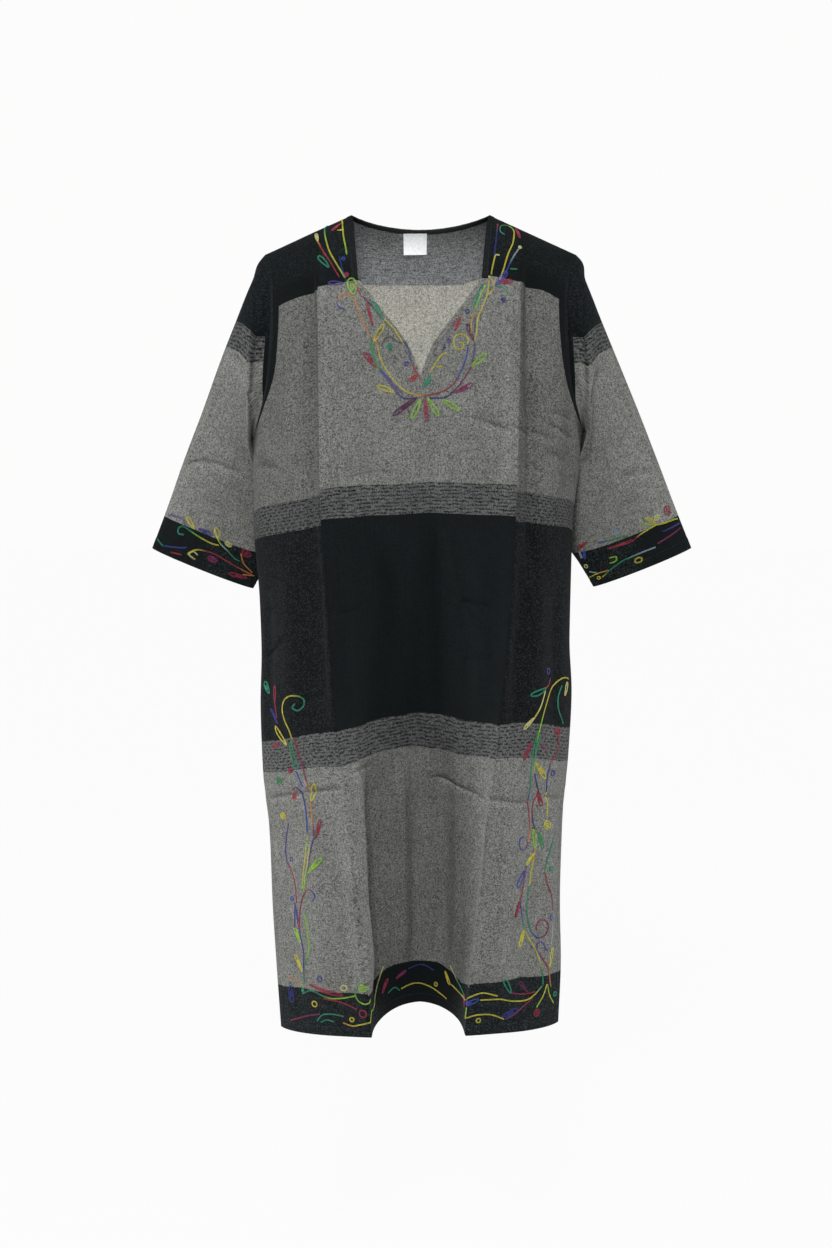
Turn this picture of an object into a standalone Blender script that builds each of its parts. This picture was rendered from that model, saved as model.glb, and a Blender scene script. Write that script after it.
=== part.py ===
"""Kurta tunic: a hollow, filled-out garment, cut from flat pattern pieces and draped.

Frame: X across the garment, Y from front to back (the front faces -Y), Z up. The origin is
midway between the two points where the neck meets the shoulder seams, which is where the
wearer's shoulders hold it up. Lengths are metres.

Every cloth piece starts as a flat pattern in the cloth's own measures: "across" is the distance
from the centre line and "down" is the distance below the neck-shoulder point. The drape
functions carry a pattern point to its place on the filled-out garment, and each piece becomes
a closed wall around that mid-surface.
"""
import math
from typing import NamedTuple

import bpy
import numpy as np
from mathutils.geometry import delaunay_2d_cdt

# ---- cloth ---------------------------------------------------------------------------------
WALL = 0.0014                # thickness of the woven cloth as built
BINDING_WALL = 0.0022        # folded binding at the neck
LABEL_WALL = 0.0008
SEAM_GAP = 0.00036           # pieces stand this far apart along a seam

# ---- the cut of the body, measured on the flat cloth ----------------------------------------
HEM_DOWN = 1.137             # neck-shoulder point to hem
CREASE_ACROSS = 0.130        # pressed creases between the centre panel and the side panels
NECK_HALF = 0.0905           # half the neck width at the shoulder seam
SHOULDER_ACROSS = 0.217      # where the shoulder seam meets the sleeve
SHOULDER_DROP = 0.046        # slope of the shoulder cut over that length
UNDERARM_DOWN = 0.300
SLIT_DOWN = 0.785            # top of both side slits
BINDING_WIDTH = 0.008
BACK_NECK_DROP = 0.047
V_CORNER = (0.081, 0.127)    # where the straight neck side turns into the V
SHOULDER_PLACES = (0.114, 0.130, 0.151, 0.173, 0.195)    # cut points along the shoulder seam

# ---- how the body hangs ----------------------------------------------------------------------
ROLL_DOWN = 0.190            # cloth used up between the shoulder seam and the upright chest
ROLL_LIFT = 0.044            # cloth spent on going forward over the shoulder
ROLL_SHARE = 0.89            # share of that height over which the cloth still turns
LEAST_BEND = -1e-4           # keeps the length formula off its straight-line limit
SHOULDER_X = 0.206           # shoulder point as hung
SHOULDER_Z = -0.051
DROOP_POWER = (4.0, 1.2)     # at the yoke and at the hem
SLIT_GAP = (0.0013, 0.0120)  # half the opening just under the slit's top and at the hem
SIDE_BULGE_IN = 0.15         # control point of the side panel's curve, as shares of its chord
SIDE_BULGE_OUT = 0.55
FOLD_EVENING = 0.9           # evens the cloth's length along the centre fold's ellipse


class BodyRow(NamedTuple):
    """One level of the front or the back, at a distance down the cloth."""

    down: float
    crease_left: float       # from the middle to the crease line on the -X side
    crease_right: float
    ridge_depth: float       # how far the crease stands off the side seams' plane
    dip: float               # how far the centre falls behind the creases
    sweep: float             # degrees of ellipse in the centre fold


FRONT_ROWS = (
    #        down  crease_l crease_r ridge   dip    sweep
    BodyRow(0.170, 0.132, 0.128, 0.090, 0.002, 25),
    BodyRow(0.330, 0.132, 0.127, 0.090, 0.008, 30),
    BodyRow(0.420, 0.131, 0.125, 0.090, 0.018, 35),
    BodyRow(0.550, 0.123, 0.119, 0.094, 0.036, 45),
    BodyRow(0.700, 0.113, 0.106, 0.100, 0.052, 56),
    BodyRow(0.830, 0.096, 0.090, 0.100, 0.071, 70),
    BodyRow(0.950, 0.086, 0.079, 0.100, 0.083, 79),
    BodyRow(1.050, 0.075, 0.068, 0.100, 0.092, 84),
    BodyRow(1.140, 0.067, 0.062, 0.100, 0.098, 87),
)
BACK_ROWS = (
    BodyRow(0.170, 0.130, 0.127, 0.085, 0.001, 25),
    BodyRow(0.420, 0.128, 0.122, 0.085, 0.010, 32),
    BodyRow(0.700, 0.118, 0.110, 0.090, 0.034, 45),
    BodyRow(0.950, 0.102, 0.096, 0.096, 0.052, 60),
    BodyRow(1.140, 0.092, 0.088, 0.098, 0.060, 70),
)


class SideRow(NamedTuple):
    """The side seams at a distance down the cloth."""

    down: float
    left: float              # from the middle to the seam on the -X side
    right: float
    half_cut: float          # half the width of the cut there
    droop_left: float        # how far the level lines sink at the seam
    droop_right: float


SIDE_ROWS = (
    #        down   left    right  half_cut droop_l droop_r
    SideRow(0.170, 0.2260, 0.2210, 0.260, 0.040, 0.031),
    SideRow(0.300, 0.2260, 0.2190, 0.260, 0.041, 0.031),
    SideRow(0.420, 0.2260, 0.2070, 0.262, 0.043, 0.032),
    SideRow(0.510, 0.2200, 0.2055, 0.264, 0.045, 0.031),
    SideRow(0.580, 0.2185, 0.2050, 0.266, 0.047, 0.030),
    SideRow(0.660, 0.2210, 0.2090, 0.267, 0.048, 0.029),
    SideRow(0.750, 0.2190, 0.2055, 0.270, 0.048, 0.029),
    SideRow(0.830, 0.2110, 0.1990, 0.273, 0.045, 0.029),
    SideRow(0.950, 0.2070, 0.1965, 0.277, 0.040, 0.028),
    SideRow(1.050, 0.2020, 0.1985, 0.281, 0.036, 0.027),
    SideRow(1.140, 0.1975, 0.1960, 0.285, 0.033, 0.026),
)

# ---- outline rows of the cut: (across, down) ---------------------------------------------------
V_EDGE = ((0.081, 0.127), (0.050, 0.168), (0.019, 0.208), (0.0045, 0.238), (0.0, 0.252))
FRONT_ARMHOLE = ((0.217, 0.046), (0.204, 0.090), (0.200, 0.135), (0.201, 0.190),
                 (0.211, 0.240), (0.232, 0.280), (0.260, 0.300))
BACK_ARMHOLE = ((0.217, 0.046), (0.207, 0.090), (0.204, 0.135), (0.206, 0.190),
                (0.216, 0.240), (0.235, 0.280), (0.260, 0.300))


class SleeveRow(NamedTuple):
    """One section of a sleeve: its outer and inner edge and its depth, at a share of its way."""

    share: float             # 0 at the armhole, 1 at the cuff
    outer_x: float
    outer_y: float
    outer_z: float
    inner_x: float
    inner_y: float
    inner_z: float
    depth: float             # half its size from front to back


SLEEVE_ROWS = {
    -1: (
        #          share  outer: x      y       z    inner: x      y       z    depth
        SleeveRow(0.120, 0.2236, 0.000, -0.085, 0.2300, 0.010, -0.312, 0.047),
        SleeveRow(0.286, 0.2540, 0.002, -0.158, 0.2290, 0.038, -0.352, 0.041),
        SleeveRow(0.592, 0.3045, 0.014, -0.281, 0.1990, 0.064, -0.418, 0.030),
        SleeveRow(0.870, 0.3485, 0.020, -0.394, 0.2180, 0.046, -0.477, 0.025),
        SleeveRow(1.000, 0.3685, 0.022, -0.445, 0.2330, 0.038, -0.503, 0.020),
    ),
    1: (
        SleeveRow(0.120, 0.2190, 0.000, -0.085, 0.2270, 0.008, -0.314, 0.047),
        SleeveRow(0.286, 0.2510, 0.002, -0.158, 0.2210, 0.034, -0.352, 0.042),
        SleeveRow(0.592, 0.3045, 0.012, -0.281, 0.1960, 0.056, -0.416, 0.032),
        SleeveRow(0.870, 0.3510, 0.020, -0.393, 0.2240, 0.046, -0.472, 0.025),
        SleeveRow(1.000, 0.3725, 0.022, -0.4445, 0.2415, 0.038, -0.5005, 0.020),
    ),
}
SLEEVE_AXIS = (0.38, 0.0, -0.92)      # the way a sleeve hangs, on the side of +X
LEAD_SHARE = 0.020           # the sleeve first leaves the armhole along the body's own surface
LEAD_TOP = 0.008             # how far it does so, round the armhole
LEAD_UNDERARM = 0.004
LEAD_FRONT = 0.016
LEAD_BACK = 0.010
UNDERARM_OUTWARD = 0.45      # how far the underarm's way leans away from the body
ARMHOLE_PROBE = 0.002        # the body's own surface is followed over this distance

# ---- the label inside the back neck ------------------------------------------------------------
LABEL_CENTRE = -0.0074
LABEL_WIDTH = 0.033
LABEL_HEIGHT = 0.034
LABEL_GAP = 0.0005           # between the label and the back's inner face

# ---- mesh spacing ------------------------------------------------------------------------------
CENTRE_COLUMNS = 6           # columns from the centre line to a crease
SIDE_COLUMNS = 6             # columns from a crease to a side seam
ROW_STEP = 0.031
GRID_TOP = 0.016             # first row of the grid below the neck-shoulder point
GRID_HEM_CLEARANCE = 0.012   # no row closer to the hem than this
SHOULDER_ROW_STEP = 0.0155   # closer rows where the cloth turns over the shoulder
EDGE_CLEARANCE = 0.010       # grid points closer to an outline than this are left out
SHARPEST_MITRE = 0.35        # limit on how far a corner moves when an outline is inset
MERGE_DISTANCE = 1e-7
ROUNDING = 1e-9
JUST_BELOW = 1e-6            # share below a slit's top at which its edges have parted
CURVE_STEPS = 24             # fine steps between two points of a cut curve
SLEEVE_ROW_COUNT = 13
ARMHOLE_STEPS = 12
NECK_SIDE_STEPS = 5
V_STEPS = 9
LABEL_STEPS = 4
NECK_BACK_STEPS = 16

FRONT, BACK = -1, 1
LEFT, RIGHT = -1, 1


# ================================================================================================
# Tables read as smooth curves
# ================================================================================================
def smooth(rows, column, where):
    """Read one column of a table at any distance, along a curve that never overshoots."""
    knots = np.array([row[0] for row in rows])
    values = np.array([getattr(row, column) for row in rows], dtype=float)
    steps = np.diff(knots)
    slopes = np.diff(values) / steps
    tangents = np.zeros(len(knots))
    same_way = slopes[:-1] * slopes[1:] > 0
    before, after = 2 * steps[1:] + steps[:-1], steps[1:] + 2 * steps[:-1]
    safe_first = np.where(same_way, slopes[:-1], 1.0)
    safe_second = np.where(same_way, slopes[1:], 1.0)
    inner = (before + after) / (before / safe_first + after / safe_second)
    tangents[1:-1] = np.where(same_way, inner, 0.0)
    tangents[0], tangents[-1] = slopes[0], slopes[-1]
    where = np.clip(where, knots[0], knots[-1])
    index = np.clip(np.searchsorted(knots, where, side="right") - 1, 0, len(steps) - 1)
    step = steps[index]
    u = (where - knots[index]) / step
    return ((1 + 2 * u) * (1 - u) ** 2 * values[index] + u * (1 - u) ** 2 * step * tangents[index]
            + u * u * (3 - 2 * u) * values[index + 1]
            + u * u * (u - 1) * step * tangents[index + 1])


def along_curve(points, count):
    """Even steps along a smooth curve through a few points of the cut."""
    points = np.array(points, dtype=float)
    padded = np.vstack((2 * points[0] - points[1], points, 2 * points[-1] - points[-2]))
    fine = []
    for index in range(len(points) - 1):
        before, start, end, after = padded[index:index + 4]
        for u in np.linspace(0, 1, CURVE_STEPS, endpoint=False):
            fine.append(0.5 * (2 * start + (end - before) * u
                               + (2 * before - 5 * start + 4 * end - after) * u * u
                               + (3 * start - before - 3 * end + after) * u ** 3))
    fine = np.array(fine + [points[-1]])
    lengths = np.concatenate(([0], np.cumsum(np.linalg.norm(np.diff(fine, axis=0), axis=1))))
    even = np.linspace(0, lengths[-1], count + 1)
    return np.column_stack([np.interp(even, lengths, fine[:, axis]) for axis in (0, 1)])


# ================================================================================================
# The drape of the body
# ================================================================================================
def shoulder_line(width):
    """Across-distance -> (x, z, down) of the shoulder seam, level inside the neck."""
    share = np.clip((width - NECK_HALF) / (SHOULDER_ACROSS - NECK_HALF), 0, None)
    x = np.where(width < NECK_HALF, width, NECK_HALF + share * (SHOULDER_X - NECK_HALF))
    return x, share * SHOULDER_Z, share * SHOULDER_DROP


def droop(width, hand, down):
    """How far a level line has sunk at this distance from the centre."""
    share = np.clip(down / HEM_DOWN, 0, 1)
    power = DROOP_POWER[0] + (DROOP_POWER[1] - DROOP_POWER[0]) * share
    most = by_hand(hand, smooth(SIDE_ROWS, "droop_left", down),
                   smooth(SIDE_ROWS, "droop_right", down))
    return most * (width / smooth(SIDE_ROWS, "half_cut", down)) ** power


def by_hand(hand, left, right):
    return np.where(hand < 0, left, right)


def section(face, width, hand, down):
    """Across-distance at one level -> (x, depth): centre fold, crease, then the side panel."""
    rows = FRONT_ROWS if face == FRONT else BACK_ROWS
    crease = by_hand(hand, smooth(rows, "crease_left", down), smooth(rows, "crease_right", down))
    side = by_hand(hand, smooth(SIDE_ROWS, "left", down), smooth(SIDE_ROWS, "right", down))
    ridge, dip = smooth(rows, "ridge_depth", down), smooth(rows, "dip", down)
    sweep = np.radians(smooth(rows, "sweep", down))
    # Centre panel: an arc of an ellipse that meets the crease after `sweep` degrees.
    reach, fall = crease / np.sin(sweep), dip / (1 - np.cos(sweep))
    share = np.clip(width / CREASE_ACROSS, 0, 1)
    evening = FOLD_EVENING * (fall - reach) / (fall + reach)
    even = share + evening * sweep / math.pi * share * (1 - share)
    angle = even * sweep
    centre_x = reach * np.sin(angle)
    centre_depth = ridge - dip + fall * (1 - np.cos(angle))
    # Side panel: a curve from the crease to the seam that rounds away towards the side.
    seam_depth = slit_opening(down)
    bend_x = side - SIDE_BULGE_IN * (side - crease)
    bend_depth = seam_depth + SIDE_BULGE_OUT * (ridge - seam_depth)
    half_cut = smooth(SIDE_ROWS, "half_cut", down)
    share = np.clip((width - CREASE_ACROSS) / (half_cut - CREASE_ACROSS), 0, 1)
    first = np.hypot(bend_x - crease, bend_depth - ridge)
    second = np.hypot(side - bend_x, seam_depth - bend_depth)
    u = (first - np.sqrt(first ** 2 - (first ** 2 - second ** 2) * share)) / (first - second)
    side_x = (1 - u) ** 2 * crease + 2 * u * (1 - u) * bend_x + u * u * side
    side_depth = (1 - u) ** 2 * ridge + 2 * u * (1 - u) * bend_depth + u * u * seam_depth
    inside = width <= CREASE_ACROSS
    return np.where(inside, centre_x, side_x), np.where(inside, centre_depth, side_depth)


def slit_opening(down):
    """Half the distance between the two edges of a side slit."""
    share = (down - SLIT_DOWN) / (HEM_DOWN - SLIT_DOWN)
    return np.where(share > JUST_BELOW, SLIT_GAP[0] + (SLIT_GAP[1] - SLIT_GAP[0]) * share, 0.0)


def drape_body(face, across, down):
    """Pattern points of the front or the back -> their places on the filled-out garment."""
    across, down = np.asarray(across, dtype=float), np.asarray(down, dtype=float)
    width, hand = np.abs(across), np.where(across < 0, LEFT, RIGHT)
    section_x, section_depth = section(face, width, hand, down)
    line_x, line_z, line_down = shoulder_line(width)
    height_below = line_z + (ROLL_DOWN - ROLL_LIFT) + droop(width, hand, ROLL_DOWN)
    turn = ROLL_SHARE * height_below
    # Quarter ellipse over the shoulder, entered by the length of cloth already used.
    total = section_depth + turn
    squeeze = (3 * section_depth + turn) * (section_depth + 3 * turn)
    quarter = math.pi / 4 * (3 * total - np.sqrt(squeeze))
    used = (down - line_down) / (ROLL_DOWN - line_down) * (quarter + height_below - turn)
    bend = np.minimum(section_depth * math.pi / (2 * quarter) - 1, LEAST_BEND)
    share = np.clip(used / quarter, 0, 1)
    angle = ((1 + bend) - np.sqrt((1 + bend) ** 2 - 4 * bend * share)) / (2 * bend)
    angle = np.clip(angle, 0, 1) * math.pi / 2
    turned = used < quarter
    fall = np.where(turned, turn * (1 - np.cos(angle)), turn + used - quarter)
    over = np.where(turned, np.sin(angle), 1.0)
    upper = down < ROLL_DOWN
    z_low = -(down - ROLL_LIFT) - droop(width, hand, down)
    z = np.where(upper, line_z - fall, z_low)
    over = np.where(upper, over, 1.0)
    x = line_x + (section_x - line_x) * over
    return np.column_stack((hand * x, face * section_depth * over, z))


# ================================================================================================
# The drape of a sleeve
# ================================================================================================
def armhole_ring(hand):
    """The armhole seam as a closed ring: top, front, underarm, back. Also the way out of it."""
    ring, outward = [], []
    for face, edge in ((FRONT, FRONT_ARMHOLE), (BACK, BACK_ARMHOLE)):
        cut = along_curve(edge, ARMHOLE_STEPS)
        heading = np.gradient(cut, axis=0)
        heading /= np.linalg.norm(heading, axis=1)[:, None]
        out_of_cut = np.column_stack((heading[:, 1], -heading[:, 0]))
        here = drape_body(face, hand * cut[:, 0], cut[:, 1])
        inner = cut - ARMHOLE_PROBE * out_of_cut
        behind = drape_body(face, hand * inner[:, 0], inner[:, 1])
        way = (here - behind) / np.linalg.norm(here - behind, axis=1)[:, None]
        if face == FRONT:
            ring.extend(here)
            outward.extend(way)
        else:
            ring.extend(here[-2:0:-1])
            outward.extend(way[-2:0:-1])
            outward[0] = outward[0] + way[0]
            outward[ARMHOLE_STEPS] = outward[ARMHOLE_STEPS] + way[-1]
    ring, outward = np.array(ring), np.array(outward)
    outward /= np.linalg.norm(outward, axis=1)[:, None]
    angle = np.arange(len(ring)) * 2 * math.pi / len(ring)
    top, underarm = np.clip(np.cos(angle), 0, 1), np.clip(-np.cos(angle), 0, 1)
    outward += top[:, None] * np.array(SLEEVE_AXIS) * (hand, 1, 1)
    outward += underarm[:, None] * np.array((UNDERARM_OUTWARD * hand, 0, 0))
    return ring, outward / np.linalg.norm(outward, axis=1)[:, None]


def sleeve_sections(hand):
    """Shares of the way down and, for each, a ring of points."""
    ring, outward = armhole_ring(hand)
    count = len(ring)
    angle = np.arange(count) * 2 * math.pi / count
    lead = np.where(np.cos(angle) > 0, LEAD_TOP, LEAD_UNDERARM) * np.cos(angle) ** 2
    lead += np.where(np.sin(angle) > 0, LEAD_FRONT, LEAD_BACK) * np.sin(angle) ** 2
    shares, rings = [0.0, LEAD_SHARE], [ring, ring + outward * lead[:, None]]
    for row in SLEEVE_ROWS[hand]:
        outer = np.array((hand * row.outer_x, row.outer_y, row.outer_z))
        inner = np.array((hand * row.inner_x, row.inner_y, row.inner_z))
        middle, across = (outer + inner) / 2, (outer - inner) / 2
        forward = np.array((0, -row.depth, 0))
        rings.append(middle + np.cos(angle)[:, None] * across
                     + np.sin(angle)[:, None] * forward)
        shares.append(row.share)
    return np.array(shares), np.array(rings)


def drape_sleeve(hand, share):
    """One ring of a sleeve at a share of its way from armhole to cuff."""
    shares, rings = SECTIONS[hand]
    steps = np.diff(shares)
    slopes = np.diff(rings, axis=0) / steps[:, None, None]
    tangents = np.empty_like(rings)
    tangents[0], tangents[-1] = slopes[0], slopes[-1]
    for index in range(1, len(shares) - 1):
        before, after = steps[index - 1], steps[index]
        tangents[index] = (after * slopes[index - 1] + before * slopes[index]) / (before + after)
    index = int(np.clip(np.searchsorted(shares, share, side="right") - 1, 0, len(steps) - 1))
    step = steps[index]
    u = (share - shares[index]) / step
    return ((1 + 2 * u) * (1 - u) ** 2 * rings[index]
            + u * (1 - u) ** 2 * step * tangents[index]
            + u * u * (3 - 2 * u) * rings[index + 1]
            + u * u * (u - 1) * step * tangents[index + 1])


# ================================================================================================
# Flat pattern pieces, cut into triangles
# ================================================================================================
class Sheet:
    """A mid-surface: its points, triangles, the seam-side points pulled in by the gap."""

    def __init__(self, name, points, pulled, triangles, half_wall, flat=None):
        self.name = name
        self.flat = flat
        self.points = np.asarray(points)
        self.pulled = np.asarray(pulled)
        self.triangles = triangles
        self.half_wall = half_wall


def neck_side(down):
    """Across-distance of the neck's bound edge on the front, at a distance down."""
    return NECK_HALF + (V_CORNER[0] - NECK_HALF) * down / V_CORNER[1]


def binding_rows():
    """The bound neck edge as (face, edge point, inner point), from -X round to +X."""
    inner_half = NECK_HALF + BINDING_WIDTH
    seam_down = float(shoulder_line(np.array(inner_half))[2])
    rows = []
    for down in np.linspace(V_CORNER[1], 0, NECK_SIDE_STEPS, endpoint=False):
        share = down / V_CORNER[1]
        inner_down = seam_down + (V_CORNER[1] - seam_down) * share
        rows.append((FRONT, (neck_side(down), down), (neck_side(down) + BINDING_WIDTH, inner_down)))
    left = [(face, (-edge[0], edge[1]), (-inner[0], inner[1])) for face, edge, inner in rows]
    middle = []
    for step in range(NECK_BACK_STEPS + 1):
        angle = math.pi * step / NECK_BACK_STEPS
        cosine, sine = math.cos(angle), math.sin(angle)
        edge = (-NECK_HALF * cosine, BACK_NECK_DROP * sine)
        inner = (-inner_half * cosine,
                 abs(cosine) * seam_down + (BACK_NECK_DROP + BINDING_WIDTH) * sine)
        middle.append((BACK, edge, inner))
    return left + middle + rows[::-1]


def half_outline(face):
    """The cut's edge on the right-hand half, from the centre of the neck to the hem."""
    outline = []
    if face == FRONT:
        outline.extend(along_curve(V_EDGE[::-1], V_STEPS))
        inner = [row[2] for row in binding_rows() if row[0] == FRONT and row[2][0] > 0]
        outline.extend(np.array(inner)[::-1])
    else:
        inner = [row[2] for row in binding_rows() if row[0] == BACK and row[2][0] > ROUNDING]
        outline.append(np.array((0, BACK_NECK_DROP + BINDING_WIDTH)))
        outline.extend(np.array(inner[:-1]))
    seam_start = NECK_HALF + BINDING_WIDTH
    for across in (seam_start, *SHOULDER_PLACES):
        outline.append(np.array((across, float(shoulder_line(np.array(across))[2]))))
    armhole = along_curve(FRONT_ARMHOLE if face == FRONT else BACK_ARMHOLE, ARMHOLE_STEPS)
    outline.extend(armhole)
    for down in side_levels():
        outline.append(np.array((float(smooth(SIDE_ROWS, "half_cut", down)), down)))
    hem_half = outline[-1][0]
    for step in range(SIDE_COLUMNS - 1, -1, -1):
        outline.append(np.array((CREASE_ACROSS + (hem_half - CREASE_ACROSS) * step / SIDE_COLUMNS,
                                 HEM_DOWN)))
    for step in range(CENTRE_COLUMNS - 1, 0, -1):
        outline.append(np.array((CREASE_ACROSS * step / CENTRE_COLUMNS, HEM_DOWN)))
    outline.append(np.array((0.0, HEM_DOWN)))
    return outline


def side_levels():
    """Distances down the side seam, with one exactly at the top of the slit."""
    above = round((SLIT_DOWN - UNDERARM_DOWN) / ROW_STEP)
    below = round((HEM_DOWN - SLIT_DOWN) / ROW_STEP)
    upper = np.linspace(UNDERARM_DOWN, SLIT_DOWN, above + 1)[1:]
    lower = np.linspace(SLIT_DOWN, HEM_DOWN, below + 1)[1:]
    return np.concatenate((upper, lower))


def inset(outline, distance):
    """Move a closed outline inwards; the outline runs clockwise seen with `down` upwards."""
    outline = np.asarray(outline)
    before, after = np.roll(outline, 1, axis=0), np.roll(outline, -1, axis=0)
    first, second = outline - before, after - outline
    first /= np.linalg.norm(first, axis=1)[:, None]
    second /= np.linalg.norm(second, axis=1)[:, None]
    normal_first = np.column_stack((-first[:, 1], first[:, 0]))
    normal_second = np.column_stack((-second[:, 1], second[:, 0]))
    mitre = normal_first + normal_second
    scale = np.maximum((mitre * normal_first).sum(axis=1), SHARPEST_MITRE)
    return outline + distance * mitre / scale[:, None]


def distance_to_outline(point, outline):
    starts, ends = outline, np.roll(outline, -1, axis=0)
    run = ends - starts
    share = ((point - starts) * run).sum(axis=1) / (run * run).sum(axis=1)
    nearest = starts + run * np.clip(share, 0, 1)[:, None]
    return np.linalg.norm(nearest - point, axis=1).min()


def is_inside(point, outline):
    """Even-odd test of a point against a closed outline."""
    x, y = point
    ends = np.roll(outline, -1, axis=0)
    crosses = (outline[:, 1] > y) != (ends[:, 1] > y)
    run = np.where(crosses, ends[:, 1] - outline[:, 1], 1.0)
    at = outline[:, 0] + (y - outline[:, 1]) / run * (ends[:, 0] - outline[:, 0])
    return bool((crosses & (x < at)).sum() % 2)


def body_sheet(name, face):
    """Front or back: outline, grid and crease lines, triangulated flat and then draped."""
    right = half_outline(face)
    left = [np.array((-across, down)) for across, down in right[-2:0:-1]]
    outline = np.array(right + left)
    area = np.sum(outline[:, 0] * np.roll(outline[:, 1], -1)
                  - np.roll(outline[:, 0], -1) * outline[:, 1])
    inward = 1 if area > 0 else -1
    points, creases = list(outline), []
    corner_index = {tuple(np.round(point, 6)): index for index, point in enumerate(outline)}
    levels = grid_levels()
    columns = range(-CENTRE_COLUMNS - SIDE_COLUMNS, CENTRE_COLUMNS + SIDE_COLUMNS + 1)
    for column in columns:
        chain = []
        for down in levels:
            across = column_place(abs(column), down) * (1 if column >= 0 else -1)
            point = np.array((across, down))
            if not is_inside(point, outline):
                continue
            if distance_to_outline(point, outline) < EDGE_CLEARANCE:
                continue
            chain.append(len(points))
            points.append(point)
        if abs(column) == CENTRE_COLUMNS:
            hand = 1 if column > 0 else -1
            top = (hand * CREASE_ACROSS, float(shoulder_line(np.array(CREASE_ACROSS))[2]))
            foot = (hand * CREASE_ACROSS, HEM_DOWN)
            chain = [corner_index[tuple(np.round(top, 6))]] + chain
            chain = chain + [corner_index[tuple(np.round(foot, 6))]]
            creases.extend(zip(chain[:-1], chain[1:]))
    edges = [(index, (index + 1) % len(outline)) for index in range(len(outline))] + creases
    flat = [tuple(point) for point in points]
    vertices, _, faces, _, _, _ = delaunay_2d_cdt(flat, edges, [], 1, MERGE_DISTANCE)
    assert len(vertices) == len(points), "the cut's outline crosses itself"
    points = np.array(points)
    pulled = points.copy()
    pulled[:len(outline)] = inset(outline, inward * SEAM_GAP / 2)
    draped = drape_body(face, points[:, 0], points[:, 1])
    draped_pulled = drape_body(face, pulled[:, 0], pulled[:, 1])
    triangles = facing_out(face, [tuple(triangle) for triangle in faces], points)
    return Sheet(name, draped, draped_pulled, triangles, WALL / 2, points)


def grid_levels():
    """Distances down of the grid's rows, closer together over the shoulder."""
    turning = np.arange(GRID_TOP, ROLL_DOWN, SHOULDER_ROW_STEP)
    hanging = np.arange(turning[-1] + ROW_STEP, HEM_DOWN - GRID_HEM_CLEARANCE, ROW_STEP)
    return np.concatenate((turning, hanging))


def column_place(column, down):
    """Across-distance of a grid column at one level: side columns follow the flare."""
    if column <= CENTRE_COLUMNS:
        return CREASE_ACROSS * column / CENTRE_COLUMNS
    half_cut = float(smooth(SIDE_ROWS, "half_cut", down))
    return CREASE_ACROSS + (half_cut - CREASE_ACROSS) * (column - CENTRE_COLUMNS) / SIDE_COLUMNS


def facing_out(face, triangles, flat):
    """Turn flat triangles so that the draped ones look out of the garment."""
    turned = []
    for first, second, third in triangles:
        one, two = flat[second] - flat[first], flat[third] - flat[first]
        clockwise = one[0] * two[1] - one[1] * two[0] < 0
        keep = clockwise if face == FRONT else not clockwise
        turned.append((first, second, third) if keep else (first, third, second))
    return turned


def sleeve_sheet(name, hand):
    """A tube of rings from the armhole seam to the cuff."""
    shares = np.concatenate(([0, LEAD_SHARE], np.linspace(LEAD_SHARE, 1, SLEEVE_ROW_COUNT)[1:]))
    rings = [drape_sleeve(hand, share) for share in shares]
    way = rings[1] - rings[0]
    pulled = [rings[0] + way / np.linalg.norm(way, axis=1)[:, None] * SEAM_GAP] + rings[1:]
    count = len(rings[0])
    triangles = []
    for row in range(len(rings) - 1):
        for column in range(count):
            after = (column + 1) % count
            corners = (row * count + column, row * count + after,
                       (row + 1) * count + after, (row + 1) * count + column)
            if hand == LEFT:
                corners = corners[::-1]
            triangles.append((corners[0], corners[1], corners[2]))
            triangles.append((corners[0], corners[2], corners[3]))
    return Sheet(name, np.vstack(rings), np.vstack(pulled), triangles, WALL / 2)


def binding_sheet():
    """The folded strip that binds the neck from V corner to V corner round the back."""
    rows = binding_rows()
    points, pulled = [], []
    for face, edge, inner in rows:
        edge, inner = np.array(edge), np.array(inner)
        middle = (edge + inner) / 2
        shy = inner + (edge - inner) / np.linalg.norm(edge - inner) * SEAM_GAP / 2
        for target, chosen in ((points, (edge, middle, inner)), (pulled, (edge, middle, shy))):
            chosen = np.array(chosen)
            target.append(drape_body(face, chosen[:, 0], chosen[:, 1]))
    for end, nearest in ((0, 1), (len(pulled) - 1, len(pulled) - 2)):
        way = pulled[nearest] - pulled[end]
        pulled[end] = pulled[end] + way / np.linalg.norm(way, axis=1)[:, None] * SEAM_GAP
    triangles = []
    for row in range(len(rows) - 1):
        for column in range(2):
            start = row * 3 + column
            triangles.append((start, start + 1, start + 4))
            triangles.append((start, start + 4, start + 3))
    return Sheet("neck_binding", np.vstack(points), np.vstack(pulled), triangles,
                 BINDING_WALL / 2)


def on_sheet(sheet, normals, query):
    """A flat point of a cut piece -> its place on the piece's triangles and the normal there."""
    for triangle in sheet.triangles:
        a, b, c = (sheet.flat[index] for index in triangle)
        matrix = np.array(((b[0] - a[0], c[0] - a[0]), (b[1] - a[1], c[1] - a[1])))
        second, third = np.linalg.solve(matrix, query - a)
        weights = np.array((1 - second - third, second, third))
        if weights.min() < -ROUNDING:
            continue
        place = sum(weight * sheet.points[index] for weight, index in zip(weights, triangle))
        normal = sum(weight * unit(normals[tuple(np.round(sheet.points[index], 6))])
                     for weight, index in zip(weights, triangle))
        return place, unit(normal)
    raise ValueError("the point is outside the cut piece")


def unit(vector):
    return vector / np.linalg.norm(vector)


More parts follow.
